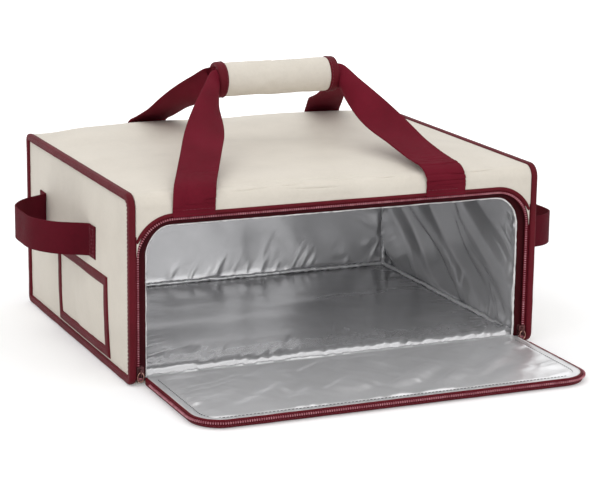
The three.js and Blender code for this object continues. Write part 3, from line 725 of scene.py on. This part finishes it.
def gathers(along, away, seed, depth, reach, pitch=13, rise=2.5, lean=0.5):
    """Height of the folds that run in from a sewn edge, by the distances along the edge and away from it."""
    away = np.maximum(away, 0)
    strength = np.clip(0.7 + 0.8 * flat_noise(along, 0, 52, 1, seed + 3), 0.25, 1.25)
    length = reach * (0.8 + 0.6 * flat_noise(along, 0, 21, 1, seed + 5))
    run = along - lean * away
    first = np.exp(-(flat_noise(run, away, pitch, 60, seed) / 0.42) ** 2)
    second = np.exp(-(flat_noise(run, away, pitch * 0.6, 40, seed + 1) / 0.5) ** 2)
    ridge = 0.7 * first + 0.3 * second
    start = 1 - np.exp(-(away / rise) ** (1 if rise < 5 else 6))
    return depth * strength * ridge * start * np.exp(-(away / length) ** 1.4)


def folds(a, b, seed, height, slant, across, along):
    """Broad soft folds of a loose panel, running at a slant in degrees."""
    c, s = math.cos(math.radians(slant)), math.sin(math.radians(slant))
    run = flat_noise(a * c + b * s, b * c - a * s, across, along, seed)
    soft = flat_noise(a, b, 110, 90, seed + 7)
    return height * (run + 0.6 * soft)


def lining_panel(name, low, first, second, inward, seed, sewn, broad, step, roll):
    """Foil panel from a corner along two directions, and its flat size in metres.

    Sewn gives depth, reach, pitch and rise of each edge's gathers, roll the height of a rounded third edge.
    """
    low, first, second, inward = [np.asarray(v, float) for v in (low, first, second, inward)]
    size_a, size_b = np.linalg.norm(first), np.linalg.norm(second)
    a, b = np.meshgrid(*[np.linspace(0, size, int(size / step)) for size in (size_a, size_b)])
    edges = ((b, a), (b, size_a - a), (a, b), (a, size_b - b))
    height = folds(a, b, seed, *broad)
    for k, (edge, shape) in enumerate(zip(edges, sewn)):
        height = height + gathers(*edge, seed + 9 * k, *shape)
    nicks = 1 + 0.32 * flat_noise(a - 0.6 * b, b, 7, 40, seed + 2)
    height = height + roll * nicks * (1 - np.exp(-(b / 8) ** 2)) * np.exp(-(b / 50) ** 2)
    near = np.minimum.reduce([away for _, away in edges])
    height = limited(height * smooth(near / 9), 3, 11)
    points = low + a[..., None] / size_a * first + b[..., None] / size_b * second + height[..., None] * inward
    # the lining panels take the darkened foil: painted shade
    made = grid(name, points, FOIL_SHADED, flip=np.dot(np.cross(first, second), inward) < 0)
    return made, (size_a * MM, size_b * MM)


def crinkled_seam(name, path, radius, seed):
    """Rolled foil over a seam, crinkled across."""
    even = shaken(resample(path, 1.6)[0], 0.5, 15, seed)
    # the roll's lighter foil is painted highlight
    return grid(name, tube(even, radius, 12, 0.8, seed), FOIL_SEAM_LIT, loop=True)


def add_lining():
    h = LIN_TOP - LIN_FLOOR
    d = LIN_BACK - WALL_FRONT
    w = 2 * LIN_X
    fine_step, plain_step, floor_roll = 1.8, 2.6, 9.0
    plain_edge, soft_edge, full_edge = (1, 16), (2.4, 28), (3.6, 24)
    # corner, two directions, inward, seed, the edges' gathers, broad folds and the cloth behind
    panels = {
        "floor": ((-LIN_X, WALL_FRONT - 3, LIN_FLOOR - 0.4), (w, 0, 0), (0, d + 3, 0), (0, 0, 1), 1,
                  ((2.4, 44, 16), soft_edge, (4.6, 70, 10), plain_edge),
                  (1, 90, 45, 190), "bottom_cloth"),
        "back": ((-LIN_X, LIN_BACK, LIN_FLOOR), (w, 0, 0), (0, 0, h), (0, -1, 0), 2,
                 (soft_edge, full_edge, (4.4, 24), plain_edge),
                 (3.4, 25, 70, 150), "back_cloth"),
        "left": ((-LIN_X, WALL_FRONT, LIN_FLOOR), (0, d, 0), (0, 0, h), (1, 0, 0), 3,
                 (soft_edge, soft_edge, full_edge, plain_edge),
                 (4.5, 20, 48, 130), "left_side_cloth"),
        "right": ((LIN_X, WALL_FRONT, LIN_FLOOR), (0, d, 0), (0, 0, h), (-1, 0, 0), 4,
                  ((17, 64, 17, 21), (4, 34, 15), (6, 36, 15), soft_edge),
                  (12, -57, 32, 170), "right_side_cloth"),
        "top": ((-LIN_X, WALL_FRONT, LIN_TOP), (w, 0, 0), (0, d, 0), (0, 0, -1), 5,
                (soft_edge, soft_edge, soft_edge, soft_edge),
                (2, 30, 80, 140), "top_cloth"),
    }
    for side, (*shape, behind) in panels.items():
        step = fine_step if side in ("floor", "right") else plain_step
        roll = floor_roll if side == "floor" else 0.0
        made, flat = lining_panel(side + "_foil", *shape, step, roll)
        stands(made, "shell", "foil_lining", side + "_lining")
    x, y, z, top = LIN_X - 3, LIN_BACK - 3, LIN_FLOOR + 2.2, LIN_TOP - 2.0
    around = [(-x, WALL_FRONT, z), (-x, y, z), (x, y, z), (x, WALL_FRONT, z)]
    seams = (("floor_seam_tape", "floor_seam", around, 2.4),
             ("left_corner_tape", "corner_seam_left", [(-x, y, z), (-x, y, top)], 2.9),
             ("right_corner_tape", "corner_seam_right", [(x, y, z), (x, y, top)], 2.9))
    for seed, (name, node, path, radius) in enumerate(seams, 1):
        stands(crinkled_seam(name, path, radius, seed), "shell", "foil_lining", node)


# Mouth and zip


def teeth(name, offset, low, y, opened=False):
    """Chain of zip teeth; the body's stands proud round the arch, the open flap's lies flat."""
    line, normal = zip_line(offset, low, TOOTH_PITCH)
    tangent = xyz(normal[:, 1], 0, -normal[:, 0])
    across = xyz(normal[:, 0], 0, normal[:, 1])
    up = np.tile([0, -1, 0], (len(line), 1))
    proud = 0 if opened else 2.2
    lower = smooth((np.abs(normal[:, 0]) - 0.85) / 0.15)
    centres = xyz(line[:, 0], y - proud * (1 - lower), line[:, 1])
    if opened:
        base = laid_open(np.zeros((1, 3)))
        tangent, across, up = [laid_open(v) - base for v in (tangent, across, up)]
        centres = laid_open(centres)
    return blocks(name, centres, tangent, across, up, (TOOTH_PITCH * 0.48, 2.4, 2.2), COIL_HIGHLIGHTED)


def facing_sweep(profile, step=4):
    """Facing round the mouth; its inner part is wider down the two sides."""
    line, normal = zip_line(0, 7.8, step)
    wider = 3 * smooth((np.abs(normal[:, 0]) - 0.3) / 0.7)
    return np.stack([beside(line, normal, d - wider * (d < 0), y) for d, y in profile], 1)


def tape_sweep(profile, low, room):
    """Zip tape round the arch; down the two sides it narrows to the given room and lies flat."""
    line, normal = zip_line(0, low)
    side = np.abs(normal[:, 0])
    flat = smooth((side - 0.85) / 0.15)
    widest = max(d for d, _ in profile)
    fit = np.minimum(1, ((ZIP_R + room) / np.maximum(side, 0.1) - ZIP_R) / widest)
    columns = []
    for d, y in profile:
        level = max(y, -195.1 if d < 4 else -196.2)
        columns.append(beside(line, normal, d * fit if d > 0 else d, y * (1 - flat) + level * flat))
    return np.stack(columns, 1)


def add_mouth():
    inner = [(8.2, -194.3), (7.6, -192.2), (6, -191.9), (0, -191.9), (-4, -191.9), (-5.2, -191.6),
             (-5.6, -190.8), (-5.2, -190.2), (8.2, -190.3)]
    welt = [(8.7, -197.2), (8.6, -198.6), (7.9, -199.5), (6.8, -199.9), (5.6, -199.6), (4.8, -198.6),
            (4.4, -197.2), (3.8, -196.8), (2.6, -196.7), (0.6, -196.6), (0.1, -196.2), (0, -195),
            (0.6, -194.2), (8.2, -194.5)]
    # the facing's near-black colour is painted shade
    facing = grid("mouth_facing", facing_sweep(inner), FACING_SHADED)
    stands(facing, "shell", "burgundy_webbing", "opening_facing")
    line = shaken(facing_sweep([(-6.3, -190.6)], 2)[:, 0, :], 0.35, 11, 4)
    # the white tube is the rolled foil edge with painted highlight; it thickens towards the right, where that
    # highlight is broader
    radius = 0.65 + 0.4 * smooth((line[:, 0] - 190) / 40)
    piping = grid("mouth_rolled_edge", tube(line, radius, 10, 0.45, 3), ROLLED_EDGE_HIGHLIGHT, loop=True)
    stands(piping, "shell", "rolled_edge", "facing_piping")
    tape = grid("body_tape", tape_sweep(welt, 6.3, 4.9), TAPE)
    stands(tape, "shell", "burgundy_webbing", "body_zip_tape")
    stands(teeth("body_teeth", 1.8, 9.2, -195.6), "shell", "zip_coil", "body_zip_chain")


def rounded_block(name, low, high, radius, material):
    """Block with rolled edges between two corners."""
    corners = [(x, y, z) for x in (low[0], high[0]) for y in (low[1], high[1]) for z in (low[2], high[2])]
    faces = [(0, 1, 3, 2), (4, 6, 7, 5), (0, 4, 5, 1), (2, 3, 7, 6), (0, 2, 6, 4), (1, 5, 7, 3)]
    made = piece(name, corners, faces, material)
    bevel = made.modifiers.new("bevel", "BEVEL")
    bevel.width = radius * MM
    bevel.segments = 3
    return applied(made)


def add_sliders():
    wire, pull_half, pull_tall, pivot = 0.75, 3.6, 5.3, 15.1
    # front plate, rear plate and the post between them: half width, depths, heights and rounding
    plates = ((4.3, -197.9, -196.7, 8.8, 21.4, 0.9), (4.3, -193.3, -192.2, 8.8, 21.4, 0.5),
              (0.4, -197.5, -192.6, 17.5, 21, 0.1))
    for side, sign in SIDES:
        x = sign * ZIP_X
        metal = [rounded_block("block", (x - half, y0, z0), (x + half, y1, z1), r, SLIDER)
                 for half, y0, y1, z0, z1, r in plates]
        path = [(x, -197.7, 11.2), (x, -200.4, 11.3), (x, -201.4, 12.2), (x, -201.5, 15.1), (x, -201.4, 18),
                (x, -200.4, 18.9), (x, -197.7, 19)]
        metal.append(grid("bridge", tube(resample(path, 0.8)[0], wire, 10), SLIDER, loop=True))
        body = joined(side + "_zip_slider", metal)
        stands(body, side + "_slider", "zip_metal", side + "_slider")
        a = np.linspace(0, 2 * math.pi, 40)
        ring = xyz(x + pull_half * np.sin(a), -199.3, pivot - pull_tall + pull_tall * np.cos(a))
        pull = grid(side + "_ring_pull", tube(ring, wire, 10), BRONZE, loop=True)
        stands(pull, side + "_pull", "zip_metal", side + "_pull")
        stop = rounded_block(side + "_stop_tab", (x - 3.2, -196.5, 5.4), (x + 3.2, -193.5, 8.3), 0.6, COIL_HIGHLIGHTED)
        stands(stop, "shell", "zip_coil", side + "_zip_stop")


# Flap


def flap_surface(y, edge, swell, inward, step=4, hem=0, seed=0):
    """Sheet over the flap's arch, drawn closed at a depth; a hem is a flat strip with gathers inside it."""
    half, top, r = ZIP_X + edge, ZIP_TOP + edge, ZIP_R + edge
    t = np.linspace(0, 1, int((top - FLAP_LOW) / step))
    s = np.linspace(-1, 1, int(2 * half / step))
    t, s = np.meshgrid(t, s, indexing="ij")
    z = FLAP_LOW + (top - FLAP_LOW) * t
    rise = np.clip((z - (top - r)) / r, 0, 1)
    width = half - r + r * np.sqrt(np.maximum(1 - rise ** 2, 0))
    x = s * width
    from_side = np.minimum(width - np.abs(x), half)
    from_edge = np.minimum(from_side, top - z)
    lift = swell * smooth(np.minimum(from_edge, z - FLAP_LOW + 20) / 40)
    if hem:
        inside = from_edge - hem
        loose = folds(x, z, seed, 2.6, 50, 19, 52) + folds(x, z, seed + 20, 0.9, -35, 11, 34)
        tight = gathers(z, width + x - hem, seed, 3.6, 46, lean=-0.4)
        tight += gathers(z, width - x - hem, seed + 2, 3, 40)
        tight += gathers(x, top - z - hem, seed + 4, 1.9, 24, 10)
        both = limited(loose, 2.5, 5) * smooth(inside / 48) + tight * smooth(inside / 6)
        lift = lift + smooth((z - FLAP_LOW) / 24) * both
        lift = lift - 0.7 * np.exp(-(inside / 1.3) ** 2)
    return xyz(x, y + inward * lift, z)


def add_flap():
    hem = 9.0
    outer = laid_open(flap_surface(HINGE_Y - 3.6, -6.5, -0.2, -1))
    cloth = thicken(grid("flap_cloth", outer, CREAM, flip=True), 1, 1)
    stands(cloth, "flap", "cream_fabric", "flap_panel", "flap_foam")
    inner = laid_open(flap_surface(HINGE_Y + 4.2, FLAP_FOIL_EDGE, 0.6, 1, 2.2, hem, 15))
    # the flap's foil is the lightened copy: painted light
    lining = grid("flap_foil_lit", inner, FLAP_FOIL_LIT)
    stands(lining, "flap", "foil_lining", "flap_lining")
    hem_line = arch_sweep([(FLAP_FOIL_EDGE - hem, HINGE_Y + 3.9)], 20)[:, 0, :]
    row = stitches(laid_open(hem_line), (0, 0, 1), GREY_THREAD, 2.6, 4.4, "flap_hem_stitch")
    stands(row, "flap", "rolled_edge")
    profile = [(-7.6, 4), (-6.8, 4.9), (-5.8, 4.9), (-5, 4.2), (-4.6, 2.6), (-4.5, 0.5), (-4.6, -2.4),
               (-5.2, -3.9), (-6.4, -4.4), (-9, -4.45), (-12.5, -4.4), (-13.4, -4), (-13.6, -3.2)]
    points = arch_sweep([(d, HINGE_Y + y) for d, y in profile], FLAP_LOW)
    points[..., 1] = np.maximum(points[..., 1] + value_noise(points, 18, 2) * 0.15, HINGE_Y - 4.5)
    band = grid("flap_band", laid_open(points), TAPE)
    profile = [(-4.8, -0.5), (-2.4, -0.4), (-2.2, 0), (-2.4, 0.4), (-4.8, 0.5)]
    points = arch_sweep([(d, ZIP_Y + y) for d, y in profile], HINGE_Z + 25)
    tape = grid("flap_tape", laid_open(points), TAPE)
    sewn = laid_open(arch_sweep([(-4.35, HINGE_Y - 2)], HINGE_Z + 8)[:, 0, :])
    band = joined("flap_band", [band, tape, stitches(sewn, (0, 0, 1))])
    stands(band, "flap", "burgundy_webbing", "flap_edge_band")
    line = shaken(arch_sweep([(-8, HINGE_Y + 4.2)], HINGE_Z + 6, 3)[:, 0, :], 0.12, 11, 14)
    # white like the mouth's rolled edge: painted highlight
    piping = grid("flap_rolled_edge", laid_open(tube(line, 0.6, 10, 0.1, 5)), ROLLED_EDGE_HIGHLIGHT, loop=True)
    stands(piping, "flap", "rolled_edge")
    chain = teeth("flap_teeth", -2.5, HINGE_Z + 25, ZIP_Y, opened=True)
    stands(chain, "flap", "zip_coil", "flap_zip_chain")


def add_hinge():
    """Foil over the seam between floor and flap."""
    x = np.linspace(-234.5, 234.5, 330)
    profile = [(-179, 4.2), (-181.5, 5.4), (-184, 7), (-186.5, 8.2), (-189, 8.8), (-190.6, 8.7),
               (-191.6, 8.2), (-192.2, 7.7), (-193.4, 7.5), (-194.8, 7.8), (-196, 8.4), (-197.6, 8.9),
               (-199.2, 8.9), (-200.4, 8.4), (-201.6, 8.3), (-204, 8.7), (-207, 8.9), (-210, 8.4),
               (-212, 7.4)]
    profile = resample(profile, 1.2)[0]
    points = xyz(x, profile[:, :1], profile[:, 1:])
    x, y, _ = parts(points)
    away = np.maximum(y + 192, 0)
    rise = gathers(x, away + 5, 12, 1.5, 60, 9, lean=0.6) * smooth(away / 3)
    rise += value_noise(points, 9, 6) * 0.3 * smooth(away / 3) + value_noise(points, 24, 6) * 0.2
    points[1:-1, :, 2] += rise[1:-1]
    points[1:-1, :, 1] += value_noise(points, 26, 8)[1:-1] * 0.6
    # the hinge takes the flap's lightened foil: painted light
    made = grid("hinge_foil", points, FLAP_FOIL_LIT, flip=True)
    stands(made, None, "foil_lining", "hinge_seam")
    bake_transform(made)


# Straps and grip


def ribbon(name, centre, half, thickness, material, bulge=0, ripple=np.zeros_like):
    """Webbing along a row of centres, and its length.

    Half runs from a centre to one edge, bulge lifts the middle and ripple gives small folds.
    """
    normal = unit(np.cross(np.gradient(centre, axis=0), half))
    s = np.linspace(-1, 1, 21)
    ring = [(v, 0.5) for v in s] + [(1.016, 0)] + [(v, -0.5) for v in s[::-1]] + [(-1.016, 0)]
    level = np.zeros(len(centre))
    columns = []
    for v, h in ring:
        lift = level + bulge * (1 - v * v) + ripple(level + v) + h * thickness
        columns.append(centre + half * v + normal * lift[:, None])
    points = np.stack(columns, 1)
    last, count = len(centre) - 1, len(ring)
    faces = grid_faces(last + 1, count, True)
    faces.append(tuple(range(count))[::-1])
    faces.append(tuple(last * count + c for c in range(count)))
    along = running(centre)
    across = np.array([v for v, _ in ring]) * np.linalg.norm(half, axis=1)[:, None]
    uv = np.stack(np.broadcast_arrays(across, along[:, None]), -1)
    return piece(name, points.reshape(-1, 3), faces, material, uv.reshape(-1, 2)), along[-1]


def between(u, start, end, p, q):
    return (end - u) / (end - start) * p + (u - start) / (end - start) * q


def curve_through(knots, count, step=1.8):
    """Centripetal Catmull-Rom curve through knots."""
    k = np.asarray(knots, float)
    k = np.vstack([2 * k[0] - k[1], k, 2 * k[-1] - k[-2]])
    t = running(k, 0.5)
    pieces = []
    spans = len(k) - 3
    for i in range(spans):
        t0, t1, t2, t3 = t[i:i + 4]
        p0, p1, p2, p3 = k[i:i + 4]
        u = np.linspace(t1, t2, count // spans + 1, endpoint=i == spans - 1)[:, None]
        a1, a2, a3 = between(u, t0, t1, p0, p1), between(u, t1, t2, p1, p2), between(u, t2, t3, p2, p3)
        b1, b2 = between(u, t0, t2, a1, a2), between(u, t1, t3, a2, a3)
        pieces.append(between(u, t1, t2, b1, b2))
    return resample(np.vstack(pieces), step)[0]


# Side view of the strap's way from its sewn end over the edge of the top, as y and z
FRONT_FOOT = [(-198.8, 189), (-198.9, 198), (-198.8, 206), (-196.2, 215), (-190, 222)]
REAR_FOOT = [(199.9, 162), (199.9, 185), (200.6, 198), (202, 206), (201.6, 214), (197.5, 221.5),
             (190, 227)]


def strap_leg(name, x, front, end_x, sag):
    """Leg from its sewn end over the edge of the top to the grip, where it turns on edge and gathers."""
    side = math.copysign(1, x)
    inward = 1 if front else -1
    leave, meet, bend_z = 190, 12, 212.0
    foot = FRONT_FOOT if front else REAR_FOOT
    edge, start_z = abs(foot[0][0]), foot[-1][1]
    places = list(foot)
    for f in np.linspace(0.12, 1, 8):
        z = start_z + (GRIP_Z - 2 - start_z) * f - sag * 4 * f * (1 - f)
        places.append((-inward * (leave + (meet - leave) * f), z))
    knots = [(x + (end_x - x) * max(edge - abs(y), 0) / (edge - meet), y, z) for y, z in places]
    knots += [(end_x - side * 6, -inward * 10, GRIP_Z - 0.5), (end_x - side * 16, -inward * 8.5, GRIP_Z)]
    centre = curve_through(knots, 1200, 0.6)
    # close rows at the bend for its wrinkles, every third elsewhere
    close = np.abs(centre[:, 2] - bend_z) < 30
    centre = centre[close | (np.arange(len(centre)) % 3 == 0)]
    s = np.clip((leave - np.abs(centre[:, 1])) / (leave - meet), 0, 1)
    turn = 1.4 * np.clip((s - 0.3) / 0.7, 0, 1) ** 1.7
    wide = STRAP_W / 2 * (1 - 0.42 * smooth((s - 0.4) / 0.6))
    half = xyz(side * wide * np.cos(turn), 0, wide * np.sin(turn))
    bulge = -side * inward * 8 * smooth((s - 0.55) / 0.45)
    bend = -side * inward * np.exp(-((centre[:, 2] - bend_z) / 15) ** 2)
    run = centre[:, 2] + inward * np.abs(centre[:, 1])

    def wrinkled(v):
        wave = flat_noise(run, v * 25, 4, 24, x)
        return bend * (1.6 + 0.4 * wave - 1.6 * np.exp(-(wave / 0.25) ** 2))

    return ribbon(name, centre, half, STRAP_T, WEBBING, bulge, wrinkled)


def add_straps():
    ends = {"front_left": (-179, True, -84, 0), "front_right": (133, True, 82, 7),
            "rear_left": (-96, False, -84, 2), "rear_right": (152, False, 82, 2)}
    for place, (x, front, end_x, sag) in ends.items():
        leg, length = strap_leg(place + "_leg", x, front, end_x, sag)
        stands(leg, None, "burgundy_webbing", place + "_strap")
        if front:
            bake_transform(leg)
            path = xyz(x, -197.7, np.linspace(189, 204, 8))
            lines = [np.array([[x - 22, 197], [x + 22, 197]])]
            deep, normal = -199.75, (0, -1, 0)
        else:
            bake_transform(leg)
            path = xyz(x, 198.8, np.linspace(161, 196, 12))
            lines = box_cross(x - 20, x + 20, 165, 192)
            deep, normal = 200.85, (0, 1, 0)
        half = np.tile([STRAP_W / 2, 0, 0], (len(path), 1))
        sewn = [ribbon(place + "_tab", path, half, 0.5, WEBBING)[0]]
        for line in lines:
            sewn.append(stitches(xyz(line[:, 0], deep, line[:, 1]), normal))
        tab = joined(place + "_tab", sewn)
        stands(tab, "shell", "burgundy_webbing", place + "_strap_end")


def turned(x, radius, a):
    """Points round the grip's axis."""
    return xyz(x, radius * np.cos(a), GRIP_Z + radius * np.sin(a))


def from_axis(points):
    """Unit vectors from the grip's axis to points."""
    return unit(points - xyz(points[..., 0], 0, GRIP_Z))


def add_grip():
    for name, start, end in (("front_strap_run", 93, 267), ("rear_strap_run", -87, 87)):
        a = np.radians(np.linspace(start, end, 16))
        x = np.linspace(GRIP_FROM + 1, GRIP_TO - 1, 30)[:, None]
        made = thicken(grid(name + "_web", turned(x, TUBE_R + 0.8, a), WEBBING), STRAP_T)
        stands(made, "grip", "burgundy_webbing", name)
    a = np.linspace(0, 2 * math.pi, 64, endpoint=False)
    x = np.linspace(GRIP_FROM + 9.5, GRIP_TO - 9.5, 70)[:, None]
    swell = 0.9 * (1 - ((x - GRIP_X) / 71) ** 4)
    points = turned(x, 19.8 + swell, a)
    waver = value_noise(points, 30, 3) * 0.7 + value_noise(points, 11, 1) * 0.22
    # seam where the sleeve closes along its lower side
    angle = np.arctan2(points[..., 2] - GRIP_Z, points[..., 1])
    seam = np.exp(-((angle + 1.9) / 0.06) ** 2)
    points = points + from_axis(points) * (waver - 0.9 * seam)[..., None]
    sleeve = grid("grip_sleeve_cloth", points, CREAM, loop=True)
    held = (np.abs(points[..., 0] - GRIP_X) > 66) | (seam > 0.5)
    settled(sleeve, held.ravel(), 3, 0.8, 0.003)
    stands(sleeve, "grip", "cream_fabric", "grip_sleeve", "grip_foam")
    band_w, sewn_r = 11.3, 21.75
    for side, inner, outer in (("left", GRIP_FROM + band_w, GRIP_FROM), ("right", GRIP_TO - band_w, GRIP_TO)):
        d = math.copysign(1, outer - inner)
        from_inner = [(0, 19.4), (0, 20.6), (0.8, 21.4), (4, 21.7)]
        from_outer = [(-2.5, 21.5), (-0.8, 20.9), (0, 19.6), (0.1, 17.8), (-0.5, 15.8), (-2, 14.9),
                      (-4.5, 14.6), (-5.4, 12.5), (-5.7, 7), (-5.8, 0.1)]
        profile = [(inner + d * out, r) for out, r in from_inner]
        profile += [(outer + d * out, r) for out, r in from_outer]
        points = np.stack([turned(x, r, a) for x, r in profile])
        points[..., 0] += value_noise(points, 9, 2) * 0.25
        band = grid(side + "_grip_tape", points, TAPE, loop=True, flip=d < 0)
        around = turned(inner + d * 2, sewn_r, np.linspace(0, 2 * math.pi, 65))
        even, tangent = resample(around, 4.2)
        up = from_axis(even)
        row = blocks("row", even, tangent, np.cross(up, tangent), up, (3, 0.7, 0.6), THREAD)
        band = joined(side + "_grip_tape", [band, row])
        stands(band, "grip", "burgundy_webbing", side + "_grip_band")


# Side handles and pocket


def add_side_handles():
    tab, whole, reach, base = 22, 220, 57.5, 253.9
    # loops as shares of the reach outwards and of the way along
    even = [(0, 0), (0.12, 0.025), (0.62, 0.13), (0.95, 0.3), (1, 0.5), (0.95, 0.7), (0.62, 0.87),
            (0.12, 0.975), (0, 1)]
    leaning = [(0, 0), (0.12, 0.01), (0.62, 0.035), (0.95, 0.14), (1, 0.33), (0.88, 0.58), (0.52, 0.84),
               (0.12, 0.965), (0, 1)]
    loops = (("left", -1, -82, 138, even), ("right", 1, -184, 126, leaning))
    for side, sign, front, z, shape in loops:
        rear = front + whole
        knots = [(base, front), (base, front + tab * 0.8)]
        knots += [(base + reach * o, front + tab + (whole - 2 * tab) * along) for o, along in shape]
        knots += [(base, rear - tab * 0.8), (base, rear)]
        x, y = np.array(knots).T
        x = x + side_bulge(y, z) * (x < base + 3)
        path = curve_through(xyz(sign * x, y, z), 120)
        half = np.tile([0, 0, HANDLE_W / 2], (len(path), 1))
        t = np.abs(np.linspace(-1, 1, len(path)))
        run = np.linspace(0, whole, len(path))

        def wavy(v):
            return 0.5 * t ** 4 * (1 - t ** 30) * flat_noise(run, v * 19, 6, 14, sign)

        made, length = ribbon(side + "_handle_web", path, half, HANDLE_T, SIDE_WEB, 0, wavy)
        rows = []
        for y0, y1 in ((front + 3, front + 17), (rear - 17, rear - 3)):
            for line in box_cross(y0, y1, z - 15, z + 15):
                deep = base + 1.1 + side_bulge(*line.T)
                rows.append(stitches(xyz(sign * deep, *line.T), (sign, 0, 0)))
        sewing = joined(side + "_handle_sewing", rows)
        stands(sewing, "shell", "burgundy_webbing")
        handle = side + "_handle"
        stands(made, None, "burgundy_webbing", handle + "_loop", handle + "_front_end", handle + "_rear_end")
        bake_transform(made)


def add_pocket():
    """Flat pocket on the left panel, bound with tape."""
    y0, y1, z0, z1 = -124, 64, 12, 108.0
    y, z = np.meshgrid(np.linspace(y0 + 6, y1 - 6, 50), np.linspace(z0 + 6, z1 - 6, 30))
    u, v = np.abs((y - (y0 + y1) / 2) / 88), np.abs((z - (z0 + z1) / 2) / 42)
    waves = value_noise(xyz(y, z, 0), 24, 7) * 0.4 * (1 - u ** 4)
    out = PANEL_X + 0.6 + side_bulge(y, z) + pillow(u, v) + waves
    panel = grid("pocket_cloth", xyz(-out, y, z), CREAM, flip=True)
    panel = thicken(settled(panel, rim(y), 2, 1.5), 1)
    stands(panel, "shell", "cream_fabric", "pocket_panel")
    profile = [(-7.2, 0.2), (-7, 1.6), (-6, 2.4), (-2, 2.7), (2, 2.6), (4.2, 2.1), (5, 1.2),
               (5.1, 0)]
    middle, sewn = 5, 8.4
    outline = rectangle(y0 + middle, y1 - middle, z0 + middle, z1 - middle)
    rings = []
    for d, h in profile:
        y, z = frame_ring(outline, d, 40).T
        rings.append(xyz(-(PANEL_X + h + side_bulge(y, z)), y, z))
    points = np.stack(rings, 1)
    points[..., 0] += value_noise(points, 13, 2) * 0.25
    tape = grid("pocket_tape", points, TAPE)
    y, z = resample(rectangle(y0 + sewn, y1 - sewn, z0 + sewn, z1 - sewn), 2)[0].T
    row = stitches(xyz(-(PANEL_X + 2.5 + side_bulge(y, z)), y, z), (-1, 0, 0))
    tape = joined("pocket_tape", [tape, row])
    stands(tape, "shell", "burgundy_webbing", "pocket_binding")


# Studio


def add_studio():
    """White room: a floor that glows further out, soft daylight all round and three large lamps."""
    SCENE.view_settings.view_transform = "Standard"
    world = bpy.data.worlds.new("studio")
    SCENE.world = world
    room = Nodes(world)
    lit = room.fill(room.tree.nodes["Background"], {"Color": WHITE, "Strength": 0.74})
    shown = room.node("ShaderNodeBackground", {"Color": WHITE, "Strength": 1.0})
    mix = room.node("ShaderNodeMixShader", {0: room.seen(), 1: lit.outputs[0], 2: shown.outputs[0]})
    room.fill(room.tree.nodes["World Output"], {"Surface": mix.outputs[0]})
    m = Nodes(bpy.data.materials.new("floor_pale"))
    m.colour(m.noise(3), [(0.3, (0.79, 0.79, 0.79)), (0.7, (0.81, 0.81, 0.81))])
    away = m.node("ShaderNodeVectorMath", {0: m.place()}, "LENGTH").outputs["Value"]
    glow = m.math("MINIMUM", m.math("ADD", m.math("MULTIPLY", away, 0.30), 0.13), 0.8)
    strength = m.math("MULTIPLY", m.seen(), glow)
    m.fill(m.shader, {"Roughness": 0.9, "Emission Color": WHITE, "Emission Strength": strength})
    reach, below = 9000, -0.6
    corners = [(x * reach, y * reach, below) for x, y in ((-1, -1), (1, -1), (1, 1), (-1, 1))]
    piece("floor", corners, [(0, 1, 2, 3)], m.owner)
    lamps = (("key", (-2.3, -1.6, 2.6), (0, 0, 0.1), 4.4, 40),
             ("front", (1.6, -3, 1.1), (0, 0, 0.1), 2.3, 17),
             ("top", (0, 0.6, 2.8), (0, 0, 0.2), 4.6, 28))
    for name, place, target, size, watts in lamps:
        light = bpy.data.lights.new(name, "AREA")
        light.size = size
        light.energy = watts
        made = bpy.data.objects.new(name, light)
        made.location = place
        made.rotation_euler = (Vector(target) - Vector(place)).to_track_quat("-Z", "Y").to_euler()
        SCENE.collection.objects.link(made)


add_studio()
add_outer()
add_bindings()
add_lining()
add_mouth()
add_sliders()
add_flap()
add_hinge()
add_straps()
add_grip()
add_side_handles()
add_pocket()
